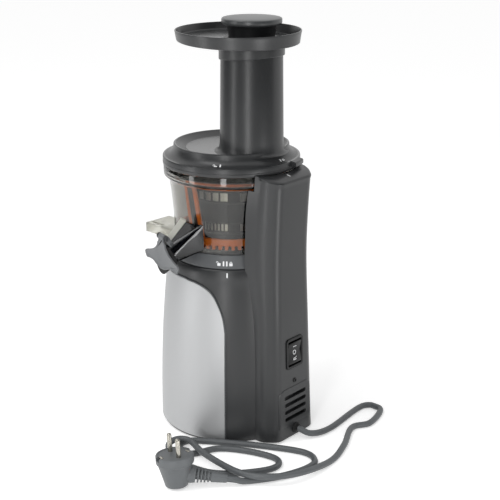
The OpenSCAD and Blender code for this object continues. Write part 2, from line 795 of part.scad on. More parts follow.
module rocker_switch() color("black") on_back(switch_z) translate([0, -pivot_depth, 0]) {
    rotate([90, 0, 90]) translate([0, 0, -rocker_w / 2]) linear_extrude(rocker_w) polygon([
        [pivot_r - rocker_t, 0], [0, -rocker_h * 0.34], [pivot_depth + rocker_dish, -rocker_h * 0.47],
        [pivot_depth + rocker_dish * 0.6, -rocker_h * 0.3], [pivot_depth, 0],
            [pivot_depth + rocker_dish * 0.6, rocker_h * 0.3],
        [pivot_depth + rocker_dish, rocker_h * 0.47], [0, rocker_h * 0.34]]);
    rotate([0, 90, 0]) translate([0, 0, -rocker_w / 2 - pivot_len]) cylinder(r = pivot_r,
        h = rocker_w + 2 * pivot_len);
}

module cord_grommet() color("black") on_back(cord_z) rotate([-90, 0, 0]) difference() {
    union() {
        translate([0, 0, skin_gap]) cylinder(r = grommet_flange_r, h = grommet_flange_t);
        translate([0, 0, -grommet_in]) cylinder(r = grommet_r, h = grommet_in + grommet_flange_t);
        translate([0, 0, grommet_flange_t]) cylinder(r1 = grommet_r, r2 = cord_d / 2 + cut,
            h = grommet_out - grommet_flange_t);
    }
    translate([0, 0, -grommet_in - cut]) cylinder(r = cord_d / 2, h = grommet_in + grommet_out + 2 * cut);
}

module mains_cord() color([0.2, 0.2, 0.21]) loft([for (i = [0:cord_rings - 1]) cord_ring(i)]);

module plug_place() translate([plug_x, plug_y, plug_lift]) at_az(plug_lean_az) rotate([plug_lean, 0, 0])
    at_az(-plug_lean_az) children();
module relief_place() at_az(relief_az) translate([0, 0, relief_z]) rotate([90 + relief_drop, 0, 0])
    children();

module plug_body() color([0.36, 0.37, 0.38]) plug_place() difference() {
    union() {
        cylinder(r1 = plug_foot_r, r2 = plug_d / 2 - cut, h = plug_h - plug_rim_h);
        translate([0, 0, plug_h - plug_rim_h]) cylinder(r = plug_d / 2, h = plug_rim_h);
        relief_place() cylinder(r1 = relief_r, r2 = relief_tip_r, h = relief_len);
    }
    relief_place() for (i = [0:relief_ribs - 1]) translate([0, 0,
        plug_foot_r + relief_neck * 0.55 + i * 2 * rib_slot])
        tube(relief_r + cut, cord_d / 2 + relief_core, rib_slot);
    relief_place() translate([0, 0, relief_len - relief_neck * 0.6]) cylinder(r = cord_d / 2,
        h = relief_neck);
    at_az(pin_az) for (s = [-1, 1]) {
        translate([s * clip_in, 0, plug_h - clip_h]) translate([-clip_h / 2, -clip_w / 2, 0]) cube([clip_h,
            clip_w, clip_h + cut]);
    }
}

module plug_pins() color("silver") plug_place() at_az(pin_az) for (s = [-1, 1]) translate([0,
    s * pin_pitch / 2, plug_h]) {
    cylinder(r = plug_pin_r, h = pin_len - plug_pin_r * 0.6);
    translate([0, 0, pin_len - plug_pin_r * 0.6]) cylinder(r1 = plug_pin_r, r2 = plug_pin_r * 0.5,
        h = plug_pin_r * 0.6);
}

module plug_earth_clips() color("silver") plug_place() at_az(pin_az) for (s = [-1, 1])
    translate([s * clip_in, 0, plug_h - clip_h]) translate([-clip_h / 2, -clip_w / 2, 0]) cube([clip_h,
        clip_w, clip_h * 0.8]);

module motor_bracket() color("gray") difference() {
    union() {
        translate([0, 0, bracket_z]) cylinder(r = bracket_r, h = bracket_t);
        translate([0, 0, bracket_z - bracket_drop]) cylinder(r = bearing_r + bearing_wall, h = bracket_t);
        ring_of(bracket_legs) translate([0, -stator_r - bracket_leg_r - clear, plate_z + plate_t])
            cylinder(r = bracket_leg_r, h = bracket_z - plate_z - plate_t + cut);
    }
    translate([0, 0, bracket_z - bracket_drop - cut]) cylinder(r = bearing_r, h = bearing_h + cut);
    cylinder(r = shaft_r + hub_gap, h = case_z + cut);
}

module stator_core() color("slategray") translate([0, 0, stator_z]) difference() {
    cylinder(r = stator_r, h = stator_h);
    translate([0, 0, -cut]) cylinder(r = stator_bore, h = stator_h + 2 * cut);
    ring_of(stator_slots) translate([-tooth_slot_w / 4, -stator_bore - slot_depth, -cut])
        cube([tooth_slot_w / 2, slot_depth + cut, stator_h + 2 * cut]);
}

module stator_windings() color("peru") for (z = [stator_z - coil_h - coil_gap,
    stator_z + stator_h + coil_gap])
    translate([0, 0, z]) rotate_extrude() polygon([[stator_bore + coil_inset, 0], [stator_bore + slot_depth,
        0],
        [stator_bore + slot_depth + coil_out, coil_h / 2], [stator_bore + slot_depth, coil_h],
            [stator_bore + coil_inset, coil_h], [stator_bore + 2, coil_h / 2]]);

module motor_bearings() color("silver") for (z = [bearing_low_z, bracket_z - bracket_drop])
    translate([0, 0, z + fit]) tube(bearing_r - fit, shaft_r + fit, bearing_h - 2 * fit);

module rotor_core() color("gray") translate([0, 0, stator_z]) tube(stator_bore - air_gap, shaft_r + fit,
    stator_h);

module motor_shaft() color("silver") {
    translate([0, 0, bearing_low_z]) cylinder(r = shaft_r, h = gear_z - bearing_low_z);
    translate([0, 0, gear_z]) linear_extrude(gear_w) gear(sun_teeth, gear_module, backlash);
}

module gear(teeth, unit, thin) polygon(gear_outline(teeth, unit, unit * (teeth / 2 - 1 - root_clear),
    unit * (teeth / 2 + addendum), thin));

module cooling_fan() color("dimgray") translate([0, 0, fan_z]) {
    tube(fan_hub_r, shaft_r + fit, fan_h);
    ring_of(fan_blades) translate([0, -fan_hub_r + cut, fan_h / 2]) rotate([0, fan_pitch, 0])
        translate([-fan_blade_t / 2, fan_hub_r - fan_r, -fan_h / 2]) cube([fan_blade_t, fan_r - fan_hub_r,
            fan_h]);
}

module gearbox_case() color("darkgray") difference() {
    union() {
        translate([0, 0, case_z]) cylinder(r = case_r, h = case_h);
        translate([0, 0, case_z]) cylinder(r = case_r + case_flange, h = case_wall);
    }
    translate([0, 0, case_z - cut]) cylinder(r = case_r - case_wall,
        h = out_bearing_z - case_z - case_wall + cut);
    translate([0, 0, out_bearing_z - case_wall - cut]) cylinder(r = out_r + hub_gap, h = case_h);
    translate([0, 0, out_bearing_z]) cylinder(r = out_bearing_r, h = case_h);
}

module ring_gear() color("silver") translate([0, 0, gear_z]) difference() {
    cylinder(r = case_r - case_wall - fit, h = gear_w);
    translate([0, 0, -cut]) rotate([0, 0, 180 / ring_teeth]) linear_extrude(gear_w + 2 * cut)
        polygon(gear_outline(ring_teeth, gear_module, gear_module * (ring_teeth / 2 - 1),
            gear_module * (ring_teeth / 2 + 1 + root_clear), -backlash));
}

module planet_carrier() color("silver") {
    translate([0, 0, carrier_z]) cylinder(r = carrier_r, h = carrier_t);
    ring_of(planet_count) translate([planet_ring, 0, gear_z]) cylinder(r = planet_pin_r,
        h = carrier_z - gear_z + cut);
    translate([0, 0, carrier_z]) cylinder(r = out_r, h = hex_z - carrier_z);
    translate([0, 0, hex_z]) cylinder(r = hex_r, h = hex_top_z - hex_z, $fn = 6);
}

module planet_gear(index) color("silver") rotate([0, 0, index * 360 / planet_count]) translate([planet_ring,
    0, gear_z]) difference() {
    rotate([0, 0, 180 + 180 / planet_teeth]) linear_extrude(gear_w) gear(planet_teeth, gear_module, backlash);
    translate([0, 0, -cut]) cylinder(r = planet_pin_r + fit, h = gear_w + 2 * cut);
}
module planet_gear_1() planet_gear(0);
module planet_gear_2() planet_gear(1);
module planet_gear_3() planet_gear(2);

module output_bearing() color("silver") translate([0, 0, out_bearing_z + fit]) tube(out_bearing_r - fit,
    out_r + fit, out_bearing_h);

module shaft_seal() color("black") translate([0, 0, seal_z + fit]) tube(seal_r - fit, out_r + clear, seal_h);

module control_board() color("darkgreen") translate([-board_w / 2, bowl_bay_r + housing_wall + clear,
    board_z]) {
    cube([board_w, board_t, board_h]);
    for (s = [0.25, 0.75]) translate([board_w * s - relay_w / 2, board_t - fit, board_h * 0.3])
        cube([relay_w, relay_t, relay_h]);
}

module lid_sensor() color("black") at_az(lug_az + lug_span / 2)
    translate([-sensor_w / 2, -lid_bay_r - housing_wall - sensor_t - clear,
        column_top_z - column_fall - housing_wall - sensor_h - cut])
        cube([sensor_w, sensor_t, sensor_h]);

function bowl_wall_r(z) = bowl_r * lookup((z - bowl_low_z) / (band_z - bowl_low_z),
    [for (i = [0:len(bowl_z_shares) - 1]) [bowl_z_shares[i], bowl_r_shares[i]]]);
module bowl_outline(inset) let (rise = band_z - bowl_low_z) polygon(concat(
    [[0, bowl_low_z + inset]],
    [for (i = [0:len(bowl_z_shares) - 1]) [bowl_r * bowl_r_shares[i] - inset, bowl_low_z + max(inset,
        rise * bowl_z_shares[i])]],
    [[band_r - inset - band_round, band_z + inset / 2], [band_r - inset, band_z + band_round + inset / 2],
        [band_r - inset, bowl_top_z + inset],
    [0, bowl_top_z + inset]]));

module chute_block(x_in, z_low, z_high, from, to) translate([chute_x - chute_w / 2 + x_in, -to, z_low])
    cube([chute_w - 2 * x_in, to - from, z_high - z_low]);

module juice_bowl() color([0.35, 0.38, 0.42, 0.4]) bowl_place() difference() {
    union() {
        difference() {
            rotate_extrude() difference() {
                bowl_outline(0);
                bowl_outline(bowl_wall);
            }
            spout_bore_cut();
            chute_block(chute_wall, chute_low_z + chute_wall, channel_top_z - chute_wall, channel_start,
                chute_reach);
        }
        intersection() {
            difference() {
                chute_block(0, bowl_low_z + cut, strainer_z - clear, channel_start, chute_reach);
                chute_block(chute_wall, bowl_floor_z, strainer_z, channel_start + chute_wall, chute_reach);
            }
            cylinder(r = channel_r, h = deck_z * 2);
        }
        intersection() {
            difference() {
                chute_block(0, bowl_low_z + cut, channel_top_z, channel_start, chute_reach);
                chute_block(chute_wall, chute_low_z + chute_wall, channel_top_z - chute_wall, channel_start,
                    chute_reach);
            }
            translate([0, 0, bowl_low_z]) tube(bowl_r - cut, channel_r - cut, deck_z);
        }
        translate([0, 0, bowl_floor_z - cut]) tube(shaft_hole_r + boss_wall, shaft_hole_r, boss_h + cut);
        at_az(pinion_az) translate([0, -pinion_ring, bowl_floor_z - cut]) {
            cylinder(r = pin_r + boss_wall, h = press_gear_z - bowl_floor_z + cut - clear);
            cylinder(r = pin_r, h = press_gear_z + press_gear_h - bowl_floor_z + cut);
        }
        for (az = [130, 330]) at_az(az) translate([0, -strainer_r * 0.88, bowl_floor_z - cut])
            cylinder(r = pin_r, h = strainer_z - bowl_floor_z + cut - fit);
    }
    translate([0, 0, bowl_low_z - cut]) cylinder(r = shaft_hole_r, h = floor_t + boss_h + 2 * cut);
}

module bowl_ring() color([0.33, 0.34, 0.35]) bowl_place() difference() {
    rotate_extrude() polygon([[ring_in_r, ring_low_z], [ring_r, ring_low_z], [ring_r,
        ring_low_z + ring_foot_h],
        [ring_top_r, ring_top_z - ring_round], [ring_top_r - ring_round, ring_top_z], [bowl_r + fit,
            ring_top_z], [bowl_r + fit, bowl_low_z + fit * 2],
        [bowl_r - ring_ledge, bowl_low_z + fit * 2], [bowl_r - ring_ledge, bowl_low_z - fit], [ring_in_r,
            bowl_low_z - fit]]);
    translate([0, 0, bowl_low_z - fit]) cylinder(r = bowl_wall_r(ring_top_z) + fit, h = deck_z);
    chute_block(-skin_gap, chute_low_z - skin_gap, deck_z * 2, channel_start, chute_reach);
}

module bowl_seal() color("black") bowl_place() translate([0, 0, bowl_low_z + fit]) tube(shaft_hole_r - fit,
    out_r + clear, floor_t + boss_h - 2 * fit);

module pulp_chute() color([0.4, 0.42, 0.45, 0.6]) bowl_place() difference() {
    chute_block(0, chute_low_z, chute_top_z, channel_start, chute_reach);
    chute_block(chute_wall, chute_low_z + chute_wall, chute_top_z - chute_roof, 0, chute_reach - chute_wall);
    chute_block(chute_wall, 0, chute_low_z + 2 * cut, chute_reach - drop_len, chute_reach - chute_wall);
    chute_cut_bowl();
    translate([chute_x + chute_w / 2 - slot_w - slot_inset, -chute_reach + slot_end,
        chute_top_z - chute_roof - cut]) cube([slot_w, slot_len, chute_roof + 2 * cut]);
}
module chute_cut_bowl() rotate_extrude() polygon(concat([[0, bowl_low_z]],
    [for (i = [0:len(bowl_z_shares) - 1]) [bowl_r * bowl_r_shares[i] + fit,
        bowl_low_z + (band_z - bowl_low_z) * bowl_z_shares[i]]],
    [[0, band_z]]));

module spout_place() at_az(spout_az) translate([spout_side, -spout_inset, spout_z]) rotate([90 + spout_tilt,
    0, 0]) children();
module spout_bore_cut() spout_place() translate([0, 0, -spout_len * 0.3]) cylinder(r = spout_bore / 2,
    h = spout_len * 2);
// Place of the cap's hinge: level with the mouth's outer edge and above it
module hinge_place() at_az(spout_az) translate([spout_side,
    -spout_inset - spout_len * cos(spout_tilt) - hinge_out,
    spout_z - spout_len * sin(spout_tilt) + hinge_up]) children();

module juice_spout() color([0.4, 0.42, 0.45, 0.6]) bowl_place() difference() {
    union() {
        hull() {
            spout_place() translate([0, 0, spout_len - flange_t]) cylinder(r = spout_r, h = flange_t,
                $fn = coarse_fn);
            at_az(spout_az) for (s = [0, 1]) translate([s * junction_w, -bowl_r * (s > 0 ? 0.86 : 0.97),
                junction_low])
                cylinder(r = junction_r, h = junction_top - junction_low, $fn = coarse_fn);
        }
        spout_place() translate([0, 0, spout_len - flange_t]) cylinder(r = flange_r, h = flange_t);
        hinge_place() for (s = [-1, 1]) translate([s > 0 ? ear_in : -ear_in - ear_w, 0, 0]) hull() {
            rotate([0, 90, 0]) cylinder(r = barrel_r, h = ear_w, $fn = coarse_fn);
            translate([0, barrel_r * 2, -hinge_up * 0.62]) cube([ear_w, barrel_r, barrel_r]);
        }
    }
    spout_bore_cut();
    chute_cut_bowl();
    hinge_place() rotate([0, 90, 0]) translate([0, 0, -2 * ear_in]) cylinder(r = hinge_pin_r, h = 4 * ear_in);
}

module cap_pin() color("silver") bowl_place() hinge_place() rotate([0, 90, 0]) translate([0, 0,
    -ear_in - ear_w])
    cylinder(r = hinge_pin_r, h = 2 * (ear_in + ear_w));

module cap_outline() let (n = len(cap_side_shares)) polygon(concat(
    [for (i = [0:n - 1]) [cap_half_w * cap_side_shares[i], -cap_drop * cap_down_shares[i]]],
    [for (i = [0:n - 1]) [-cap_half_w * cap_side_shares[n - 1 - i],
        -cap_drop * cap_down_shares[n - 1 - i]]]));

module juice_cap() color([0.45, 0.46, 0.47]) bowl_place() difference() {
    union() {
        hinge_place() translate([0, -cap_back, 0]) rotate([90, 0, 0]) linear_extrude(cap_t) cap_outline();
        hinge_place() rotate([0, 90, 0]) translate([0, 0, -ear_in + clear]) cylinder(r = barrel_r,
            h = 2 * (ear_in - clear));
        difference() {
            spout_place() translate([0, 0, spout_len + clear]) cylinder(r = cap_cup_r, h = spout_len * 0.62);
            hinge_place() translate([-spout_len, -spout_len * 2 - cap_back - cap_t / 2, -spout_len * 2])
                cube(spout_len * 2);
        }
    }
    spout_place() translate([0, 0, spout_len]) cylinder(r = cap_cup_r - cap_cup_wall, h = seal_t + clear);
    hinge_place() for (s = [-1, 1], drop = [0, barrel_r * 0.7])
        translate([s > 0 ? ear_in - clear : -ear_in - ear_w - clear, 0, -drop]) rotate([0, 90, 0])
            cylinder(r = barrel_r + clear, h = ear_w + 2 * clear);
    hinge_place() rotate([0, 90, 0]) translate([0, 0, -2 * ear_in]) cylinder(r = hinge_pin_r + fit,
        h = 4 * ear_in);
}

module cap_seal() color("black") bowl_place() spout_place() translate([0, 0, spout_len + clear])
    cylinder(r = cap_cup_r - cap_cup_wall - fit, h = seal_t);

module window_band(z, h) ring_of(window_count) rotate([0, 0, window_az - 90 - window_span / 2])
    translate([0, 0, z])
    rotate_extrude(angle = window_span) translate([strainer_r - strainer_wall - cut, 0])
        square([strainer_wall + 2 * cut, h]);

module strainer_frame() color([0.13, 0.13, 0.14]) bowl_place() {
    difference() {
        union() {
            translate([0, 0, strainer_z]) tube(strainer_r, strainer_r - strainer_wall,
                strainer_top_z - strainer_z);
            translate([0, 0, strainer_top_z - strainer_rim_h]) tube(strainer_r + strainer_rim_out,
                strainer_r - strainer_wall, strainer_rim_h);
        }
        window_band(window_low_z, window_low_h);
        window_band(window_top_z, window_top_h);
    }
    difference() {
        translate([0, 0, strainer_z]) cylinder(r = strainer_r - strainer_wall + fit, h = strainer_floor_t);
        translate([0, 0, strainer_z - cut]) cylinder(r = neck_hole_r, h = strainer_floor_t + 2 * cut);
        at_az(pulp_az) translate([0, -pulp_ring, strainer_z - cut]) cylinder(r = pulp_hole_r,
            h = strainer_floor_t + 2 * cut);
    }
}

module strainer_mesh() color("silver") bowl_place() translate([0, 0, strainer_z + strainer_floor_t + fit])
    tube(strainer_r - strainer_wall - fit, strainer_r - strainer_wall - fit - mesh_t,
        strainer_top_z - strainer_z - strainer_floor_t - mesh_top_gap);

// One flight: a tapering band wound round the core, its foot sunk in the core
module flight(start) {
    function core_at(z) = core_low_r + (core_top_r - core_low_r) * (z - flight_low_z) / (core_top_z - flight_low_z);
    function flight_ring(i) = let (t = i / flight_steps, a = start + 360 * flight_turns * t,
        z = flight_low_z + flight_root_t / 2 + (flight_top_z - flight_low_z - flight_root_t) * t,
        reach = min(1, (1 - t) * 6 + 0.12), out = core_at(z) + (flight_r - core_at(z)) * reach,
            in = core_top_r * 0.7)
        [for (p = [[in, -flight_root_t / 2], [out, -flight_tip_t / 2], [out, flight_tip_t / 2], [in,
            flight_root_t / 2]])
            [p[0] * cos(a), p[0] * sin(a), z + p[1]]];
    loft([for (i = [0:flight_steps]) flight_ring(flight_steps - i)]);
}

module auger() color([0.12, 0.12, 0.13]) difference() {
    union() {
        at_az(pinion_az - 90 - bowl_turn) translate([0, 0, press_gear_z]) linear_extrude(press_gear_h)
            gear(screw_teeth, press_module, backlash);
        translate([0, 0, press_gear_z + press_gear_h - fit]) cylinder(r = neck_r,
            h = flight_low_z - press_gear_z - press_gear_h + 2 * fit);
        translate([0, 0, flight_low_z]) cylinder(r1 = core_low_r, r2 = core_top_r,
            h = core_top_z - flight_low_z);
        translate([0, 0, core_top_z - fit]) cylinder(r1 = core_top_r, r2 = journal_r + journal_step,
            h = journal_cone_h);
        translate([0, 0, core_top_z]) cylinder(r = journal_r, h = journal_z - core_top_z);
        for (i = [0:flight_starts - 1]) flight(i * 360 / flight_starts);
    }
    translate([0, 0, press_gear_z - cut]) cylinder(r = hex_r + hex_clear,
        h = hex_top_z - press_gear_z + 2 * cut, $fn = 6);
}

module brush_pinion() color("ivory") bowl_place() at_az(pinion_az) translate([0, -pinion_ring,
    press_gear_z]) difference() {
    rotate([0, 0, 90 + 180 / pinion_teeth]) linear_extrude(press_gear_h - clear) gear(pinion_teeth,
        press_module, backlash);
    translate([0, 0, -cut]) cylinder(r = pin_r + fit, h = press_gear_h + 2 * cut);
}

module brush_frame() color("darkorange") bowl_place() {
    translate([0, 0, brush_low_z]) difference() {
        tube(brush_r, press_module * (brush_teeth / 2 - 1), brush_band_z - brush_low_z);
        translate([0, 0, -cut]) at_az(pinion_az - 90 + 180 / brush_teeth)
            linear_extrude(brush_band_z - brush_low_z + 2 * cut)
            polygon(gear_outline(brush_teeth, press_module, press_module * (brush_teeth / 2 - 1) - cut,
                brush_r + cut, -backlash));
    }
    translate([0, 0, brush_band_z]) tube(brush_r, press_module * (brush_teeth / 2 - 1), brush_band_h);
    translate([0, 0, brush_top_z]) tube(brush_r, brush_r - rib_t, brush_top_h);
    for (i = [0:brush_pairs - 1], s = [-1, 1]) at_az(brush_az + i * 360 / brush_pairs + s * rib_step / 2)
        brush_rib();
}
module brush_rib() let (rise = brush_top_z - brush_band_z - brush_band_h,
    len = rise / cos(rib_lean) + rib_over)
    translate([0, -brush_r + rib_t / 2 + clear, brush_band_z + brush_band_h + rise / 2]) rotate([0,
        -rib_lean, 0])
        cube([rib_w, rib_t, len], center = true);

module wiper_blades() color([0.1, 0.1, 0.11]) bowl_place() for (i = [0:brush_pairs - 1])
    at_az(brush_az + i * 360 / brush_pairs)
    translate([0, 0, brush_band_z + brush_band_h + blade_inset]) {
        blade_h = brush_top_z - brush_band_z - brush_band_h - 2 * blade_inset;
        translate([0, 0, blade_h / 2]) rotate([0, -rib_lean, 0]) translate([-blade_t / 2, -brush_r + rib_t,
            -blade_h * 0.46])
            cube([blade_t, brush_r - rib_t - strainer_r - strainer_rim_out - blade_gap, blade_h * 0.92]);
        translate([0, 0, blade_h / 2]) rotate([0, -rib_lean, 0])
            translate([-brush_r * sin(rib_step / 2) + rib_w / 2 + blade_gap + fit, -brush_r + cut,
            -blade_h * 0.46])
            cube([2 * brush_r * sin(rib_step / 2) - rib_w - 2 * blade_gap - 2 * fit, blade_t,
                blade_h * 0.92]);
    }

module lid_profile() polygon(concat(
    [[0, lip_z - floor_drop], [lip_r - lip_w, lip_z - floor_drop], [lip_r - lip_top_w - lip_round,
        lip_z - lip_round / 2],
        [lip_r - lip_top_w, lip_z], [lip_r - lip_round, lip_z], [lip_r, lip_z - lip_round]],
    [for (i = [0:flank_steps]) let (a = i * 90 / flank_steps)
        [lip_r + (lid_r - rim_step - lip_r) * (1 - cos(a)),
            lid_z + lid_rim_h + (lip_z - lip_round - rim_step / 3 - lid_z - lid_rim_h) * (1 - sin(a))]],
    [[lid_r, lid_z + lid_rim_h - rim_soft], [lid_r, lid_z], [skirt_r, lid_z], [skirt_r, lid_z - skirt_h],
        [skirt_r - skirt_t, lid_z - skirt_h],
    [skirt_r - skirt_t, lid_z + lid_rim_h - lid_t], [lip_r - lid_inset, lip_z - floor_drop - lid_t], [0,
        lip_z - floor_drop - lid_t]]));

module feed_hole(low, high) translate([0, feed_y, low]) cylinder(r = feed_bore / 2, h = high - low);

module lid() color([0.3, 0.31, 0.32]) {
    difference() {
        union() {
            rotate_extrude() lid_profile();
            translate([0, feed_y, lip_z - floor_drop - 2 * lid_t]) cylinder(r = feed_foot_r + feed_fillet,
                h = 2 * lid_t);
            intersection() {
                translate([0, 0, lid_z - bush_drop]) cylinder(r = bush_r + bush_wall,
                    h = lip_z - floor_drop - lid_z);
                translate([-foot_r, -foot_r, 0]) cube([2 * foot_r, 2 * foot_r, lip_z - floor_drop]);
            }
            at_az(lug_az - 90) difference() {
                translate([0, 0, column_top_z + clear]) rotate_extrude(angle = lug_span)
                    polygon([[lid_r - lug_root, 0], [lid_r + lug_out, 0],
                    [lid_r + lug_out, lug_h - lug_soft], [lid_r, lug_h], [lid_r - lug_root, lug_h]]);
                rotate([0, 0, lug_span / 2]) translate([lid_r + lug_out / 2, 0, column_top_z])
                    cylinder(r = magnet_r, h = magnet_h + clear);
            }
        }
        translate([0, feed_y, lip_z - floor_drop]) cylinder(r = feed_foot_r + feed_fillet + 2 * fit,
            h = feed_top_z);
        intersection() {
            feed_hole(lid_z - skirt_h, lip_z - floor_drop + cut);
            cylinder(r = flight_r, h = feed_top_z);
            difference() {
                cylinder(r = foot_r, h = feed_top_z);
                cylinder(r = bush_r + bush_wall, h = lip_z - floor_drop - bush_roof);
            }
        }
        translate([0, 0, lid_z - bush_drop - cut]) cylinder(r = bush_r, h = bush_h + cut);
        translate([0, 0, lid_z]) cylinder(r = journal_r + cut, h = journal_z - lid_z + cut);
    }
}

module feed_tube() color([0.3, 0.31, 0.32]) translate([0, feed_y, lip_z - floor_drop + fit]) difference() {
    union() {
        cylinder(r1 = feed_foot_r, r2 = feed_top_r, h = feed_top_z - lip_z + floor_drop - fit);
        cylinder(r1 = feed_foot_r + feed_fillet, r2 = feed_foot_r, h = feed_fillet * 1.5);
    }
    translate([0, 0, -cut]) cylinder(r = feed_bore / 2, h = feed_top_z);
}

module lid_seal() color("white") translate([0, 0, lid_z - skirt_h + lid_seal_step])
    tube(skirt_r + clear * 1.6, skirt_r + fit, lid_seal_h);

module lid_magnet() color("silver") at_az(lug_az - 90) rotate([0, 0, lug_span / 2])
    translate([lid_r + lug_out / 2, 0, column_top_z + clear + fit])
    cylinder(r = magnet_r - fit, h = magnet_h - 2 * fit);

module auger_bush() color("gainsboro") translate([0, 0, lid_z - bush_drop + fit]) tube(bush_r - fit,
    journal_r + fit, bush_h - 2 * fit);

module tray_plane(lift) translate([0, tray_y + tray_r, feed_top_z + lift]) rotate([-tray_slope, 0, 0])
    translate([-2 * tray_r, -4 * tray_r, 0]) cube([4 * tray_r, 8 * tray_r, tray_r]);

module hopper_tray() color([0.3, 0.31, 0.32]) difference() {
    union() {
        difference() {
            intersection() {
                translate([0, tray_y, feed_top_z - 2 * cut]) cylinder(r1 = tray_foot_r, r2 = tray_r,
                    h = tray_depth + 2 * cut);
                tray_plane(fit);
            }
            intersection() {
                translate([0, tray_y, feed_top_z - 2 * cut]) cylinder(r1 = tray_foot_r - tray_wall,
                    r2 = tray_r - tray_wall + tray_lip, h = tray_depth + 3 * cut);
                tray_plane(tray_floor_t);
            }
        }
        difference() {
            translate([0, feed_y, feed_top_z - collar_h - collar_extra])
                cylinder(r = feed_top_r + collar_wall, h = collar_h + collar_extra + tray_floor_t);
            translate([0, feed_y, feed_top_z - collar_h]) rotate([collar_slant, 0, 0]) translate([-foot_r,
                -foot_r, -foot_r])
                cube([2 * foot_r, 2 * foot_r, foot_r]);
        }
    }
    translate([0, feed_y, feed_top_z - 2 * collar_h]) cylinder(r = feed_top_r + clear,
        h = 2 * collar_h + fit);
    feed_hole(feed_top_z - 2 * collar_h, feed_top_z + 2 * tray_depth);
}

module pusher_body() color([0.15, 0.15, 0.16]) translate([0, feed_y, 0]) rotate_extrude()
    let (stop_z = feed_top_z + 2 * tray_floor_t, low = pusher_low_z,
    high = feed_top_z + pusher_rise - pusher_cap_h - fit) polygon([
        [0, low], [piston_r - piston_soft, low], [piston_r, low + piston_soft], [piston_r, low + piston_h],
            [stem_r, low + piston_h + piston_neck],
        [stem_r, stop_z], [stop_r, stop_z], [stop_r, stop_z + stop_h], [stem_r, stop_z + stop_h], [stem_r,
            stop_z + cone_z],
        [cone_top_r, high], [stem_r - pusher_wall, high], [stem_r - pusher_wall, low + pusher_wall], [0,
            low + pusher_wall]]);

module pusher_cap() color([0.36, 0.37, 0.38]) translate([0, feed_y,
    feed_top_z + pusher_rise - pusher_cap_h]) rotate_extrude() polygon([
    [0, 0], [cap_r - 2 * cap_dome, 0], [cap_r, cap_soft], [cap_r, pusher_cap_h - cap_soft - cap_dome],
    [cap_r - cap_soft, pusher_cap_h - cap_dome], [cap_r * 0.6, pusher_cap_h - cap_dome / 4], [0,
        pusher_cap_h]]);

motor_housing();
rear_column();
front_panel();
panel_trim();
bottom_plate();
rubber_feet();
housing_screws();
rear_grille();
grille_screw();
switch_bezel();
rocker_switch();
cord_grommet();
mains_cord();
plug_body();
plug_pins();
plug_earth_clips();
motor_bracket();
stator_core();
stator_windings();
motor_bearings();
rotor_core();
motor_shaft();
cooling_fan();
gearbox_case();
ring_gear();
planet_carrier();
planet_gear_1();
planet_gear_2();
planet_gear_3();
output_bearing();
shaft_seal();
control_board();
lid_sensor();
juice_bowl();
bowl_ring();
bowl_seal();
pulp_chute();
juice_spout();
cap_pin();
juice_cap();
cap_seal();
strainer_frame();
strainer_mesh();
auger();
brush_pinion();
brush_frame();
wiper_blades();
lid();
feed_tube();
lid_seal();
lid_magnet();
auger_bush();
hopper_tray();
pusher_body();
pusher_cap();
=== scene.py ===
# %% [markdown]
# A cold press juicer stands on a pale table. A screw press under a dark lid
# squeezes fruit in a smoky clear bowl, a motor turns it from below, and a
# tall feed tube with a tray and a pusher stands on the lid. The rigid frame
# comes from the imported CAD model, in metres, with the screw's axis on Z.
# Each visible piece is made again here with softer edges and real finishes.

# %% Load the frame
import math
import bmesh
import bpy
from mathutils import Matrix, Vector


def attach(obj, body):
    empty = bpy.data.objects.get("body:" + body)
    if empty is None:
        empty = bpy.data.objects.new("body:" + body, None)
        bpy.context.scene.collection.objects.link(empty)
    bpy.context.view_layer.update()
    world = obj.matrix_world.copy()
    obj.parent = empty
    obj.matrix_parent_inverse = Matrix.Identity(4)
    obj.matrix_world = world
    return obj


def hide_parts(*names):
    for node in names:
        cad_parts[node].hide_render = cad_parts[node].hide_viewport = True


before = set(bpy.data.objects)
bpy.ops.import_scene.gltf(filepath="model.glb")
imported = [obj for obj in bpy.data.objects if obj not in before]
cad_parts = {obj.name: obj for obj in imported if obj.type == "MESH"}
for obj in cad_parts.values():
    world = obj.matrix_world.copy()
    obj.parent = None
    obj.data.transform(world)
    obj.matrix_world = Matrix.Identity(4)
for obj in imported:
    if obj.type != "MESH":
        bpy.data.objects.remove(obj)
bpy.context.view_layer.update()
scene = bpy.context.scene

# %% [markdown]
# The camera looks down by 18.6 degrees from behind and to the side of the
# juicer, so that the switch, the grille and the cord are seen. It is far
# away with a long lens, as a product photograph is taken. It comes first,
# because the room that a cord may take depends on what the camera sees.

# %% Camera
CAMERA_AT = Vector((0.8490, 0.7715, 0.5760))
CAMERA_BEARING = math.radians(131.3)
CAMERA_PITCH = math.radians(18.6)
FOCAL_MM = 81.4
toward = Vector((math.sin(CAMERA_BEARING), -math.cos(CAMERA_BEARING), 0))
camera_data = bpy.data.cameras.new("product_camera")
camera_data.lens = FOCAL_MM
camera_data.sensor_width = 36
camera = bpy.data.objects.new("product_camera", camera_data)
scene.collection.objects.link(camera)
camera.location = CAMERA_AT
look = (-toward * math.cos(CAMERA_PITCH) - Vector((0, 0, math.sin(CAMERA_PITCH)))).normalized()
camera.rotation_euler = look.to_track_quat("-Z", "Y").to_euler()
scene.camera = camera
print("camera looks along", [round(v, 3) for v in look])

# %% [markdown]
# Small tools used by every later step. A colour is written as the sRGB hex
# value that the eye knows and turned to linear light once. A node is added
# with its settings and its links in one call.

# %% Colour and node helpers
MM = 0.001


def linear(code):
    """An sRGB hex value as linear red, green, blue and alpha."""
    parts = [int(code[i:i + 2], 16) / 255 for i in (1, 3, 5)]
    return tuple(c / 12.92 if c <= 0.04045 else ((c + 0.055) / 1.055) ** 2.4 for c in parts) + (1.0,)


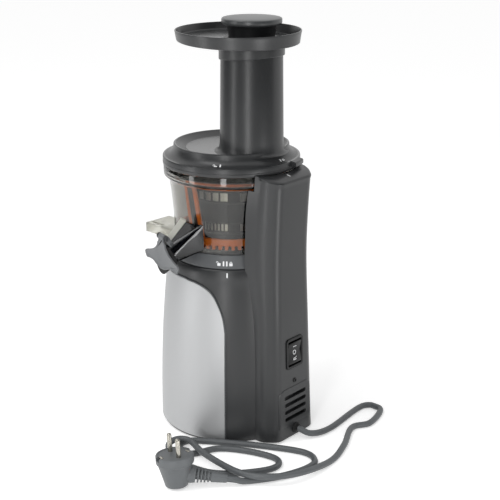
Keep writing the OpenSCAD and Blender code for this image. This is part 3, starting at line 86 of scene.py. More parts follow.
def add_node(tree, kind, settings=None, links=None):
    """A node with its settings, and its inputs fed by other nodes or by one of their outputs."""
    node = tree.nodes.new("ShaderNode" + kind)
    for key, value in (settings or {}).items():
        if isinstance(key, str) and hasattr(node, key):
            setattr(node, key, value)
        else:
            node.inputs[key].default_value = value
    for key, source in (links or {}).items():
        tree.links.new(source.outputs[0] if isinstance(source, bpy.types.Node) else source, node.inputs[key])
    return node


def empty_material(name):
    """A material and its node tree, which is still empty."""
    material = bpy.data.materials.new(name)
    material.use_nodes = True
    material.node_tree.nodes.clear()
    return material, material.node_tree

# %% [markdown]
# Most of the juicer is moulded plastic. A steel mould leaves a very fine
# spark-eroded grain, which scatters the shine, and the shine itself varies a
# little over a few centimetres, where the melt cooled at its own pace. The
# recipe has both: a fine noise drives the bump, and a broad one moves the
# roughness and the tone.

# %% Recipe for moulded and metal surfaces
PLASTIC_IOR, SHINE_SPREAD, BROAD_MM = 1.5, 0.05, 45


def surface(name, code, roughness, grain_mm=0.5, grain_um=6.0, tone=0.12, stretch=(1, 1, 1), metallic=0.0, shine=0.5):
    """Plastic, rubber or metal with a fine grain in the bump and a broad change of shine and tone."""
    material, tree = empty_material(name)
    place = add_node(tree, "TexCoord").outputs["Object"]
    lay = add_node(tree, "Mapping", {"Scale": stretch}, {"Vector": place})
    fine, broad = (add_node(tree, "TexNoise", {"Scale": 1 / (size * MM), "Detail": 2.0}, {"Vector": source})
                   for size, source in ((grain_mm, lay), (BROAD_MM, place)))
    bump = add_node(tree, "Bump", {"Strength": 1.0, "Distance": grain_um * 1e-6}, {"Height": fine})
    limits = {"To Min": max(0.02, roughness - SHINE_SPREAD), "To Max": roughness + SHINE_SPREAD}
    rough = add_node(tree, "MapRange", limits, {"Value": broad})
    low, high = ([c * (1 + s * tone) for c in linear(code)[:3]] + [1.0] for s in (-1, 1))
    colour = add_node(tree, "Mix", {"data_type": "RGBA", 6: low, 7: high}, {0: broad})
    shader = add_node(tree, "BsdfPrincipled",
                      {"Metallic": metallic, "IOR": PLASTIC_IOR, "Specular IOR Level": shine},
                      {"Base Color": colour.outputs[2], "Roughness": rough, "Normal": bump})
    add_node(tree, "OutputMaterial", None, {0: shader})
    return material

# %% [markdown]
# The bowl, the spout and the chute are clear copolyester with a smoky tint.
# It is cast smooth, so it mirrors sharply and bends what is behind it a
# little. Light from lamps would be blocked by the mesh's own shadow, so rays
# that look for a lamp pass through a tinted transparent shader instead.

# %% Recipe for clear plastic
WAVE_MM, WAVE_UM = 30, 40


def clear_plastic(name, code, roughness, haze=0.0, mirror=0.15):
    """Tinted clear plastic with a faint wave in it, which lets lamp light through."""
    material, tree = empty_material(name)
    place = add_node(tree, "TexCoord").outputs["Object"]
    waves = {"Scale": 1 / (WAVE_MM * MM), "Detail": 1.0}
    wave = add_node(tree, "TexNoise", waves, {"Vector": place})
    rough = add_node(tree, "MapRange", {"To Min": roughness, "To Max": roughness * 2 + 0.01}, {"Value": wave})
    bump = add_node(tree, "Bump", {"Strength": 0.5, "Distance": WAVE_UM * 1e-6}, {"Height": wave})
    glass = add_node(tree, "BsdfPrincipled",
                     {"Base Color": linear(code), "IOR": PLASTIC_IOR, "Transmission Weight": 1.0 - haze,
                      "Specular IOR Level": mirror},
                     {"Roughness": rough, "Normal": bump})
    tint = [c ** 0.5 for c in linear(code)[:3]] + [1.0]
    through = add_node(tree, "BsdfTransparent", {"Color": tint})
    rays = add_node(tree, "LightPath")
    both = add_node(tree, "MixShader", None,
                    {0: rays.outputs["Is Shadow Ray"], 1: glass, 2: through})
    add_node(tree, "OutputMaterial", None, {0: both})
    return material

# %% [markdown]
# The finishes, each named for what it is and how it was made, save two copies
# named for the painted light they carry. Moulded ABS has an IOR near 1.5 and a
# satin roughness of 0.3 to 0.45. The silver front is ABS with a sprayed
# metallic lacquer: fine flakes give it a sheen that falls off slowly. PVC is
# soft and dull, nickel on the pins is bright.

# %% Finishes
graphite_abs = surface("graphite_abs_moulded", "#2c2d2e", 0.34, shine=0.45)
# A lighter, shinier copy of the graphite for faces that look up: painted sheen.
graphite_painted_sheen = surface("graphite_abs_painted_sheen", "#303132", 0.24, shine=1.0)
graphite_light = surface("graphite_abs_skirt", "#4d4f51", 0.4, shine=0.4)
black_abs = surface("black_abs_moulded", "#0d0e0f", 0.34, shine=0.3)
pusher_abs = surface("black_pusher_moulded", "#161718", 0.4, shine=0.35)
pusher_top_abs = surface("graphite_abs_satin_cap", "#3a3c3d", 0.34, shine=0.6)
cap_abs = surface("grey_cap_moulded", "#66686a", 0.42, shine=0.35)
silver_lacquer = surface("silver_lacquer_sprayed", "#b2b3b4", 0.5, grain_mm=0.35, grain_um=2.5,
                         tone=0.03, metallic=0.82)
dark_trim = surface("trim_abs_moulded", "#414345", 0.34)
black_rubber = surface("black_rubber_moulded", "#171718", 0.62, grain_um=12, shine=0.3)
white_print = surface("white_ink_printed", "#d7d8d9", 0.5, grain_um=1, tone=0.04)
orange_pp = surface("orange_polypropylene", "#ee7a12", 0.42, tone=0.06, shine=0.3)
strainer_abs = surface("black_strainer_moulded", "#1d2125", 0.42, shine=0.12)
mesh_steel = surface("stainless_mesh_etched", "#d8d7d0", 0.34, grain_mm=0.8, grain_um=40, metallic=0.9)
steel = surface("steel_turned", "#b9babb", 0.28, stretch=(1, 1, 12), metallic=1.0)
dark_steel = surface("steel_blackened", "#3b3c3e", 0.45, metallic=0.9)
nickel = surface("nickel_plated_brass", "#a9a69d", 0.24, grain_um=1.0, tone=0.04, metallic=1.0)
copper = surface("copper_winding_enamelled", "#b0622f", 0.35, grain_mm=1.0, grain_um=120, stretch=(1, 1, 6),
                 metallic=0.9)
iron = surface("electrical_steel_laminated", "#77797c", 0.42, grain_mm=0.7, grain_um=60, stretch=(0.02, 0.02, 1),
               metallic=0.9)
zinc = surface("zinc_die_cast", "#8d8f92", 0.48, grain_mm=1.2, grain_um=25, metallic=0.9)
pvc_flex = surface("grey_pvc_sheath", "#55585a", 0.42, grain_mm=0.8, grain_um=14, shine=0.4)
plug_pvc = surface("grey_pvc_plug", "#606365", 0.46, grain_mm=0.6, grain_um=10, shine=0.4)
white_pom = surface("white_acetal_gear", "#e4e1d6", 0.36, tone=0.04)
green_board = surface("glass_epoxy_board", "#1f5a34", 0.3)
grey_silicone = surface("black_silicone_moulded", "#1f2123", 0.5, grain_um=8, shine=0.4)
smoky_clear = clear_plastic("smoky_copolyester_clear", "#acaba6", roughness=0.05, mirror=0.04)
smoky_dark = clear_plastic("smoky_copolyester_spout", "#3f444d", roughness=0.03, mirror=0.0)
frosted_clear = clear_plastic("smoky_copolyester_chute", "#d6d5cc", roughness=0.2, haze=0.12)
# A pale hazy copy of the clear plastic whose light colour is a painted highlight on the spout's top edges.
edge_highlight_paint = clear_plastic("spout_edge_painted_highlight", "#dddcd2", roughness=0.3, haze=0.5)
print("finishes", len(bpy.data.materials))

# %% [markdown]
# The table is a plain pale floor that runs out of view. The camera meets it
# as white, as in a product photograph, and so do mirror and glass rays, but
# the light that falls on it is real, so it keeps the juicer's soft shadow.

# %% Floor
WHITE, BLACK = (1, 1, 1, 1), (0, 0, 0, 1)
FLOOR_HALF, FLOOR_LIFT = 12, 0.42


def new_object(name, bm):
    """A bmesh handed over to a new mesh object in the scene."""
    mesh = bpy.data.meshes.new(name)
    bm.to_mesh(mesh)
    bm.free()
    made = bpy.data.objects.new(name, mesh)
    scene.collection.objects.link(made)
    return made


def seen_as_white(tree):
    """1 for the rays of the camera, of mirrors and of glass, and 0 for all other light."""
    rays = add_node(tree, "LightPath")
    mask = rays.outputs["Is Camera Ray"]
    for kind in ("Is Glossy Ray", "Is Transmission Ray"):
        mask = add_node(tree, "Math", {"operation": "MAXIMUM"}, {0: mask, 1: rays.outputs[kind]})
    return mask


bm = bmesh.new()
bmesh.ops.create_grid(bm, x_segments=1, y_segments=1, size=FLOOR_HALF)
floor = new_object("studio_floor", bm)
floor_paint, tree = empty_material("white_studio_floor")
matt = add_node(tree, "BsdfDiffuse", {"Color": linear("#f2f2f2")})
lift = add_node(tree, "Emission", {"Color": WHITE, "Strength": FLOOR_LIFT})
none = add_node(tree, "Emission", {"Color": BLACK, "Strength": 0.0})
glow = add_node(tree, "MixShader", None, {0: seen_as_white(tree), 1: none, 2: lift})
both = add_node(tree, "AddShader", None, {0: matt, 1: glow})
add_node(tree, "OutputMaterial", None, {0: both})
floor.data.materials.append(floor_paint)
print("floor", 2 * FLOOR_HALF, "m wide")

# %% [markdown]
# The world is one plain tone. It is pure white to the same rays, and gives
# less light than it shows, so that the lamps can still draw highlights.

# %% World
world = bpy.data.worlds.new("white_studio")
scene.world = world
world.use_nodes = True
tree = world.node_tree
tree.nodes.clear()
room, white = (add_node(tree, "Background", {"Color": WHITE, "Strength": power}) for power in (0.62, 1.0))
both = add_node(tree, "MixShader", None, {0: seen_as_white(tree), 1: room, 2: white})
add_node(tree, "OutputWorld", None, {0: both})
print("world", world.name)

# %% [markdown]
# Dark plastic mirrors what stands behind the camera. In a studio that is an
# unlit room, so a curved dark backcloth stands there. Only mirror rays meet
# it: the camera, the shadows and the soft light pass through.

# %% Dark backcloth behind the camera
CLOTH_R, CLOTH_LEFT, CLOTH_RIGHT, CLOTH_LOW, CLOTH_TOP, CLOTH_STEPS = 2.6, -122, 84, 0.01, 3.2, 40
bm = bmesh.new()
for k in range(CLOTH_STEPS + 1):
    turn = math.radians(CLOTH_LEFT + (CLOTH_RIGHT - CLOTH_LEFT) * k / CLOTH_STEPS)
    side = Matrix.Rotation(turn, 3, "Z") @ toward * CLOTH_R
    for height in (CLOTH_LOW, CLOTH_TOP):
        bm.verts.new(side + Vector((0, 0, height)))
bm.verts.ensure_lookup_table()
for k in range(CLOTH_STEPS):
    bm.faces.new([bm.verts[2 * k + n] for n in (0, 1, 3, 2)])
cloth = new_object("dark_backcloth", bm)
cloth.visible_camera = cloth.visible_transmission = cloth.visible_diffuse = cloth.visible_shadow = False
cloth_paint, tree = empty_material("black_velvet_backcloth")
velvet = add_node(tree, "BsdfDiffuse", {"Color": linear("#3a3a3a")})
add_node(tree, "OutputMaterial", None, {0: velvet})
cloth.data.materials.append(cloth_paint)

# %% [markdown]
# Two tall narrow softboxes stand low in front of the juicer, on the
# camera's left and beside its line of sight. They draw the two upright
# highlights that run down the tube and the column. A weak one on the right
# draws the column's second ridge, and a broad lamp overhead fills the tops.

# %% Lamps
left_of_camera = Vector((0, 0, 1)).cross(-toward)
JUICER_MIDDLE = Vector((0, 0, 0.23))


def softbox(name, bearing, height, distance, size, power):
    """A rectangular area lamp at a bearing to the camera's left, aimed at the middle of the juicer."""
    away = toward * math.cos(math.radians(bearing)) + left_of_camera * math.sin(math.radians(bearing))
    data = bpy.data.lights.new(name, "AREA")
    data.shape = "RECTANGLE"
    data.size, data.size_y = size
    data.energy = power
    lamp = bpy.data.objects.new(name, data)
    lamp.location = away * distance + Vector((0, 0, height))
    lamp.rotation_euler = (JUICER_MIDDLE - lamp.location).to_track_quat("-Z", "Y").to_euler()
    scene.collection.objects.link(lamp)
    print(name, power, "W")


softbox("softbox_left", 66, 0.36, 0.75, (0.12, 0.9), 1.7)
softbox("softbox_camera", 12, 0.36, 0.8, (0.12, 0.9), 2.6)
softbox("softbox_right", -42, 0.05, 0.7, (0.2, 0.2), 0.9)
softbox("softbox_top", 60, 1.9, 0.9, (0.9, 0.9), 8)
scene.view_settings.view_transform = "Standard"

# %% [markdown]
# The helpers that finish a piece. Each piece is built in millimetres round
# the screw's axis, has its doubles merged and its faces turned outwards, and
# is shaded smooth except where two faces meet at a real edge.

# %% Piece helpers
MERGE_MM = 0.001


def make_piece(name, bm, body, finish, stands_for=(), sharp=35):
    """Turns a bmesh in millimetres into a named piece that rides on a body."""
    bmesh.ops.remove_doubles(bm, verts=bm.verts, dist=MERGE_MM)
    bmesh.ops.recalc_face_normals(bm, faces=bm.faces)
    bmesh.ops.scale(bm, vec=(MM, MM, MM), verts=bm.verts)
    piece = new_object(name, bm)
    mesh = piece.data
    mesh.polygons.foreach_set("use_smooth", [True] * len(mesh.polygons))
    mesh.set_sharp_from_angle(angle=math.radians(sharp))
    mesh.materials.append(finish)
    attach(piece, body)
    if stands_for:
        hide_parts(*stands_for)
    print(name, "on", body, "faces", len(mesh.polygons))
    return piece


def rounded(points, radius, steps=4):
    """A closed outline whose corners are turned to short arcs."""
    result = []
    count = len(points)
    for i, corner in enumerate(points):
        b, a, c = Vector(corner), Vector(points[i - 1]), Vector(points[(i + 1) % count])
        reach_a, reach_c = min(radius, (a - b).length * 0.45), min(radius, (c - b).length * 0.45)
        start, end = b + (a - b).normalized() * reach_a, b + (c - b).normalized() * reach_c
        for k in range(steps + 1):
            t = k / steps
            p = start * (1 - t) ** 2 + b * 2 * t * (1 - t) + end * t ** 2
            if not result or (p - Vector(result[-1])).length > 0.02:
                result.append(tuple(p))
    return result


def lathe(outline, centre_y=0.0, steps=128, sweep=360):
    """Spins (radius, height) pairs about an upright axis. An outline that starts and ends on the axis isn't closed."""
    bm = bmesh.new()
    verts = [bm.verts.new((r, centre_y, z)) for r, z in outline]
    pairs = list(zip(verts, verts[1:]))
    if not outline[0][0] == outline[-1][0] == 0:
        pairs.append((verts[-1], verts[0]))
    edges = [bm.edges.new(pair) for pair in pairs]
    bmesh.ops.spin(bm, geom=verts + edges, cent=(0, centre_y, 0), axis=(0, 0, 1), angle=math.radians(sweep),
                   steps=steps, use_merge=sweep == 360)
    return bm


def curve_through(points, per_span=8):
    """Points on one smooth curve through the given ones."""
    last = len(points) - 1
    result = []
    for i in range(last):
        a, b, c, d = (Vector(points[min(max(i + k, 0), last)]) for k in (-1, 0, 1, 2))
        for s in range(per_span):
            t = s / per_span
            bend = (a * 2 - b * 5 + c * 4 - d) * (t ** 2 / 2) + (b * 3 - a - c * 3 + d) * (t ** 3 / 2)
            result.append(b + (c - a) * (t / 2) + bend)
    return result + [Vector(points[-1])]


def on_bearing(bearing, radius, height):
    """A point at a bearing turned from -Y towards +X."""
    a = math.radians(bearing)
    return Vector((radius * math.sin(a), -radius * math.cos(a), height))


def turned(degrees, axis):
    """A matrix that turns about an axis."""
    return Matrix.Rotation(math.radians(degrees), 4, axis)


def shifted(x, y, z):
    """A matrix that shifts."""
    return Matrix.Translation((x, y, z))

# %% [markdown]
# The mains cord is a round PVC lead 6.6 mm thick. It leaves the grommet,
# drops to the table and lies in the loose double loop of the photograph,
# over itself in long low humps, and ends in the plug's strain relief. A
# curve with a round bevel along the same points as the CAD is used, because
# a cord is one length of one thickness. Its westernmost bend is held to the
# outermost section of the CAD's cord.

# %% Mains cord
CORD_D = 6.6
CORD_WEST = -107.9
CORD_ROUTE = [
    (0, 85, 10), (0, 95, 10), (-7.1, 107, 5.6), (-33.3, 112.4, 3.7), (-98.9, 106.8, 3.4),
    (-106.1, 126.5, 3.4), (-72, 137.3, 3.4), (-49.3, 129.1, 3.4), (-11.4, 146.9, 4), (24.2, 156.5, 3.6),
    (70, 154.4, 9), (99.2, 137.6, 10.6), (112.6, 108.3, 10.6), (107.2, 57.6, 10.4), (97.2, 27.1, 10.6),
    (104.9, 14.5, 10.6), (118.5, 17.1, 9), (129.1, 40.1, 5.6), (127.8, 53.9, 3.7), (122.4, 79.5, 3.4),
    (107.6, 99.3, 3.4), (81.3, 118.8, 3.4), (65, 121.2, 3.4), (57.2, 108.8, 3.4), (64.1, 80, 3.4),
    (80.4, 52.4, 3.4), (105.1, 40.6, 3.4), (109.4, 27.7, 3.4), (101.3, 17.1, 3.4), (88.7, 17.5, 3.4),
    (76.3, 33.1, 3.4), (50.7, 74.1, 3.4), (28.4, 122.2, 3.4), (33.6, 143.2, 3.4), (51, 147.3, 3.5),
    (81.1, 137.7, 3.4), (111.4, 119.7, 4.4), (120.6, 112.6, 7.1), (125.7, 106.6, 8.1),
    (128.9, 102.8, 8.7),
]


def cord_piece(name, points, finish, body, stands_for):
    """A cord as a curve of one open spline with a round section."""
    data = bpy.data.curves.new(name, "CURVE")
    data.dimensions = "3D"
    line = [Vector((max(p.x, CORD_WEST), p.y, p.z)) * MM for p in curve_through(points)]
    spline = data.splines.new("POLY")
    spline.points.add(len(line) - 1)
    for point, co in zip(spline.points, line):
        point.co = (*co, 1)
    spline.use_smooth = True
    data.bevel_depth = CORD_D / 2 * MM
    data.bevel_resolution = 6
    data.use_fill_caps = True
    cord = bpy.data.objects.new(name, data)
    scene.collection.objects.link(cord)
    data.materials.append(finish)
    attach(cord, body)
    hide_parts(stands_for)
    print(name, "length", round(sum((b - a).length for a, b in zip(line, line[1:])), 3), "m")
    return cord


mains_flex = cord_piece("mains_flex", CORD_ROUTE, pvc_flex, "base", "mains_cord")

# %% [markdown]
# A piece whose section changes along its length is skinned: a grid is made
# by Blender and each of its rows is moved to one ring of points. Holes at
# the ends are filled. A cut-out is made by a boolean modifier whose result
# is kept as the piece's mesh.

# %% Skin and cut helpers
def skin(rings, caps=True):
    """A tube through rings that all have the same number of points, with its ends filled."""
    bm = bmesh.new()
    around, along = len(rings[0]), len(rings) - 1
    made = bmesh.ops.create_grid(bm, x_segments=around, y_segments=along, size=0.5)["verts"]
    for vert in made:
        vert.co = rings[round((vert.co.y + 0.5) * along)][round((vert.co.x + 0.5) * around) % around]
    bmesh.ops.remove_doubles(bm, verts=made, dist=0.0005)
    if caps:
        bmesh.ops.holes_fill(bm, edges=[e for e in bm.edges if e.is_boundary], sides=0)
    return bm


def moved(bm, matrix):
    """The whole bmesh put in place by a matrix."""
    bmesh.ops.transform(bm, matrix=matrix, verts=bm.verts)
    return bm


def bevelled(bm, reach, segments=2):
    """The bmesh with all its edges rounded."""
    bmesh.ops.bevel(bm, geom=list(bm.edges), offset=reach, segments=segments, profile=0.5, affect="EDGES", material=-1)
    return bm


def box_mesh(x0, x1, y0, y1, z0, z1):
    """A box between two corners."""
    low, high = Vector((x0, y0, z0)), Vector((x1, y1, z1))
    bm = bmesh.new()
    bmesh.ops.create_cube(bm, size=1)
    bmesh.ops.scale(bm, vec=high - low, verts=bm.verts)
    bmesh.ops.translate(bm, vec=(low + high) / 2, verts=bm.verts)
    return bm


def joined(*meshes):
    """Several bmeshes as one."""
    whole = bmesh.new()
    for bm in meshes:
        part = bpy.data.meshes.new("part")
        bm.to_mesh(part)
        bm.free()
        whole.from_mesh(part)
        bpy.data.meshes.remove(part)
    return whole


def carve(bm, *cutters):
    """A bmesh cut by others, one after another, through a boolean modifier."""
    for cutter in cutters:
        pair = []
        for one in (bm, cutter):
            bmesh.ops.recalc_face_normals(one, faces=one.faces)
            pair.append(new_object("carve", one))
        cut = pair[0].modifiers.new("cut", "BOOLEAN")
        cut.object, cut.operation, cut.solver = pair[1], "DIFFERENCE", "EXACT"
        bm = bmesh.new()
        bm.from_object(pair[0], bpy.context.evaluated_depsgraph_get())
        for one in pair:
            mesh = one.data
            bpy.data.objects.remove(one)
            bpy.data.meshes.remove(mesh)
    return bm

# %% [markdown]
# The motor housing is one moulding: a drum that draws in slightly towards
# the top, a rounded shoulder and a flat deck with a low rim round the drive
# shaft. It is round, so its wall's outline is spun about the screw's axis.

# %% Motor housing
FOOT_R, DRAW, SHOULDER_Z, DECK_Z = 78.5, 8.8, 175, 190
FOOT_GAP, WALL, PANEL_T, EDGE_R = 1.5, 2.6, 1.0, FOOT_R * 0.83


def drum_r(z):
    """Outer radius of the silver panel, which draws in towards the shoulder."""
    return FOOT_R - DRAW * (max(0, z) / SHOULDER_Z) ** 2.2


def skin_r(z):
    """Outer radius of the housing, 0.1 mm inside the panel."""
    return drum_r(z) - PANEL_T - 0.1


levels = [FOOT_GAP + (SHOULDER_Z - FOOT_GAP) * i / 24 for i in range(25)]
foot_r, shoulder_r = skin_r(FOOT_GAP), skin_r(SHOULDER_Z)
outer = [(foot_r - 1.2, FOOT_GAP), (foot_r - 0.3, FOOT_GAP + 0.3), (foot_r, FOOT_GAP + 1.2)]
outer += [(skin_r(z), z) for z in levels[1:]]
for a in [math.radians(90 * i / 16) for i in range(1, 17)]:
    outer.append((EDGE_R + (shoulder_r - EDGE_R) * math.cos(a), SHOULDER_Z + (DECK_Z - SHOULDER_Z) * math.sin(a)))
rim = [(26.5, 0), (26, 0.6), (26, 4.2), (25.6, 4.6), (24.4, 4.6), (24, 4.2), (24, 0), (14, 0), (14, -8), (10, -8),
       (10, -10), (17, -10), (17, -WALL), (EDGE_R - 3, -WALL), (EDGE_R + 0.6, -6)]
outer += [(r, DECK_Z + h) for r, h in rim] + [(skin_r(z) - WALL, z) for z in reversed(levels)]
make_piece("motor_housing_shell", lathe(outer, steps=160), "base", graphite_abs, ["motor_housing"])

# %% [markdown]
# The silver front wraps the drum for more than two thirds of its girth. Its
# upper edge falls in an S to the straight side, and a dark bead seals that
# edge. Both follow the drum's surface, so their points are computed from a
# bearing and a height and carried by a skinned grid.

# %% Front panel and its trim
PANEL_LOW, PANEL_TOP, PANEL_AZ = FOOT_GAP + 2.4, SHOULDER_Z + 1, 125.8
EDGE_SHARES = [(0, 1), (0.4, 1), (0.68, 1), (0.72, 0.996), (0.8, 0.986), (0.87, 0.962), (0.923, 0.92), (0.963, 0.85),
               (0.988, 0.78), (1, 0.7)]


def smooth_lookup(shares, x):
    """The value at x on a smooth curve through the pairs."""
    line = curve_through([(a, b, 0) for a, b in shares], 12)
    for p, q in zip(line, line[1:]):
        if x <= q.x:
            return p.y + (q.y - p.y) * (x - p.x) / max(1e-9, q.x - p.x)
    return line[-1].y


def panel_edge(bearing):
    """Height of the panel's upper edge, which falls near its two ends."""
    return PANEL_LOW + (PANEL_TOP - PANEL_LOW) * min(1.0, smooth_lookup(EDGE_SHARES, abs(bearing) / PANEL_AZ))


bearings = [PANEL_AZ * (1 - (1 - abs(t)) ** 1.25) * (1 if t >= 0 else -1) for t in (i / 60 - 1 for i in range(121))]
rows = 22
rings = []
for az in bearings:
    top = panel_edge(az)
    face = [(drum_r(PANEL_LOW) - 0.35, PANEL_LOW)]
    face += [(drum_r(z), z) for z in (PANEL_LOW + 0.35 + (top - 0.7 - PANEL_LOW) * k / rows for k in range(rows + 1))]
    face += [(drum_r(top) - 0.35, top)]
    back = [(drum_r(z) - PANEL_T, z) for z in (top, (top * 2 + PANEL_LOW) / 3, (top + PANEL_LOW * 2) / 3, PANEL_LOW)]
    rings.append([on_bearing(az, r, z) for r, z in face + back])
make_piece("silver_front", skin(rings), "base", silver_lacquer, ["front_panel"])

side_top = panel_edge(PANEL_AZ)
side = [PANEL_LOW + (side_top - PANEL_LOW) * i / 14 for i in range(14)]
path = [(-PANEL_AZ, z) for z in side] + [(az, panel_edge(az)) for az in bearings] + [(PANEL_AZ, z) for z in side[::-1]]
BEAD = [(0.1, -0.9), (0.1, 0.05), (0.35, 0.3), (1.0, 0.42), (1.45, 0.2), (1.6, -0.2), (1.6, -0.9)]
rings = []
for i, (az, z) in enumerate(path):
    a, b = path[max(0, i - 1)], path[min(len(path) - 1, i + 1)]
    run = Vector(((b[0] - a[0]) * math.pi / 180 * FOOT_R, b[1] - a[1])).normalized()
    out = Vector((-run.y, run.x))
    rings.append([on_bearing(az + math.degrees(out.x * w / FOOT_R), drum_r(z) + h, z + out.y * w) for w, h in BEAD])
make_piece("panel_bead", skin(rings), "base", dark_trim, ["panel_trim"])

# %% [markdown]
# The rear column carries the switch, the grille and the cord outlet, and
# its hollow front is the bay that the bowl locks into. Its plan is straight
# sides, slanted corners and a flat back, and it swells at foot and head.
# Rings of that plan, closed by the bay's arc, are skinned from foot to top.

# %% Column's sections
Z_SHARES = [0, 0.08, 0.24, 0.45, 0.68, 0.86, 1]
W_SHARES = list(zip(Z_SHARES, (1.1, 1.09, 1.06, 1.02, 0.985, 0.985, 1)))
BACK_SHARES = list(zip(Z_SHARES, (1.034, 1.02, 1.002, 0.98, 0.956, 0.972, 1)))
FLARE_SHARES = list(zip(Z_SHARES, (0, 0, 0, 0, 1, 0.8, 0)))
HALF_W, BACK_Y, FRONT_Y, FLARE, COLUMN_TOP, FALL = 35.5, 88.0, 30.8, 11.5, 291.0, 5.5
CHAMFER_W, CHAMFER_D = HALF_W * 0.32, BACK_Y * 0.15
BAY_R, LID_BAY_R, LID_BAY_Z = 66.5, 72.5, 273.7


def column_share(z):
    """How high z stands on the column, from 0 at its foot to 1 at its top."""
    return (z - FOOT_GAP) / (COLUMN_TOP - FOOT_GAP)


def column_w(z):
    """Half the column's width."""
    return HALF_W * smooth_lookup(W_SHARES, column_share(z))


def column_back(z):
    """How far back the column's flat back stands."""
    return BACK_Y * smooth_lookup(BACK_SHARES, column_share(z))


def column_flare(z):
    """How far the column's sides spread at the bay, above the shoulder."""
    share = column_share(z)
    for (low, a), (high, b) in zip(FLARE_SHARES, FLARE_SHARES[1:]):
        if share <= high:
            return FLARE * (a + (b - a) * max(0.0, (share - low) / (high - low)))
    return 0.0


def bay_corner(w, side_y, flare, front_r):
    """Where the column's side line meets the bay's circle."""
    foot, run = Vector((w + flare, FRONT_Y)), Vector((-flare, side_y - FRONT_Y))
    a, b, c = run.dot(run), 2 * foot.dot(run), foot.dot(foot) - front_r ** 2
    return foot + run * ((-b + math.sqrt(b * b - 4 * a * c)) / (2 * a))


def soft_corner(a, b, c, reach):
    """A corner at b turned to a short curve."""
    p, q = b + (a - b).normalized() * reach, b + (c - b).normalized() * reach
    return [p * (1 - t) ** 2 + b * 2 * t * (1 - t) + q * t ** 2 for t in (i / 7 for i in range(8))]


def column_outline(z, front_r, inset):
    """The column's plan at a height, from the right front edge round the back to the left one."""
    w, back = column_w(z) - inset, column_back(z) - inset
    corner = bay_corner(w, back - CHAMFER_D, column_flare(z), front_r)
    right = [corner, Vector((w, back - CHAMFER_D)), Vector((w - CHAMFER_W, back))]
    plan = right + [Vector((-p.x, p.y)) for p in reversed(right)]
    points = [corner] + [corner.lerp(plan[1], share) for share in (1 / 3, 2 / 3)]
    for i in range(1, 5):
        points += soft_corner(*plan[i - 1:i + 2], (HALF_W - inset) * 0.17)
    points += [plan[4].lerp(plan[5], share) for share in (1 / 3, 2 / 3)] + [plan[5]]
    bay = [math.asin(corner.x / front_r) * (1 - i / 12) for i in range(1, 24)]
    return [(p.x, p.y) for p in points] + [(-front_r * math.sin(a), front_r * math.cos(a)) for a in bay]


def column_top(y):
    """The column's top falls towards the back."""
    return COLUMN_TOP - (y - LID_BAY_R * 0.83) * FALL / (BACK_Y - BAY_R)


def back_frame(z):
    """A frame on the column's back: Y points out of it."""
    lean = math.atan((column_back(z + 1) - column_back(z - 1)) / -2)
    return shifted(0, column_back(z), z) @ Matrix.Rotation(lean, 4, "X")

# %% [markdown]
# The plan is repeated up the column, wider where the lid's bay begins, and
# the top slants with a small round edge. Two pockets are cut into the back,
# one for the switch and one behind the grille.

# %% Rear column
SWITCH_Z, VENT_Z = 96.5, 38
levels = [FOOT_GAP + (LID_BAY_Z - FOOT_GAP) * i / 30 for i in range(31)]
plans = [(FOOT_GAP, BAY_R, 1.0), (FOOT_GAP + 1.0, BAY_R, 0.0)] + [(z, BAY_R, 0.0) for z in levels[1:]]
plans += [(z, LID_BAY_R, 0.0) for z in (LID_BAY_Z, 276.5, 279.5)]
rings = [[(x, y, z) for x, y in column_outline(z, bay_r, inset)] for z, bay_r, inset in plans]
for inset, drop in ((0, 2.4), (0, 1.6), (0.25, 0.85), (0.8, 0.28), (1.7, 0.0)):
    plan = column_outline(COLUMN_TOP, LID_BAY_R + inset * 0.5, inset)
    rings.append([(x, y, column_top(y) - drop) for x, y in plan])
switch_pocket = moved(box_mesh(-11.6, 11.6, -16, 4, -15, 15), back_frame(SWITCH_Z))
vent_pocket = moved(box_mesh(-20, 20, -18, 2, -19, 19), back_frame(VENT_Z))
column = carve(skin(rings), switch_pocket, vent_pocket)
make_piece("rear_column_shell", column, "base", graphite_abs, ["rear_column"], sharp=38)

# %% [markdown]
# The three-way switch sits in a rounded black frame on the column's back.
# The rocker is dished at both ends, so that a thumb finds it, and carries
# three generic marks: on, off and reverse.

# %% Switch frame and rocker
BEZEL_W, BEZEL_H = 27.0, 34.0
ROCKER_W, ROCKER_H, PIVOT_DEPTH = BEZEL_W - 6.4, BEZEL_H - 8, 4.2


def rounded_rectangle(width, height, radius, depth, steps=5):
    """A ring of points in the X-Z plane at a depth along Y."""
    corners = [(width / 2, height / 2), (-width / 2, height / 2), (-width / 2, -height / 2), (width / 2, -height / 2)]
    return [(x, depth, z) for x, z in rounded(corners, radius, steps)]


# Width, height, corner radius and depth of each ring, from the outside into the opening.
FRAME_ROWS = [(BEZEL_W, BEZEL_H, 4.2, 0.05), (BEZEL_W, BEZEL_H, 4.2, 0.9), (BEZEL_W - 0.8, BEZEL_H - 0.8, 3.9, 1.35),
              (BEZEL_W - 2.0, BEZEL_H - 2.0, 3.3, 1.4), (ROCKER_W + 1.6, ROCKER_H + 2.2, 1.6, 1.3),
              (ROCKER_W + 1.0, ROCKER_H + 1.6, 1.3, 0.8), (ROCKER_W + 1.0, ROCKER_H + 1.6, 1.3, -7.2)]
rings = [rounded_rectangle(*row) for row in FRAME_ROWS]
switch_frame = moved(skin(rings + [rings[0]], caps=False), back_frame(SWITCH_Z))
make_piece("switch_frame", switch_frame, "base", black_abs, ["switch_bezel"])

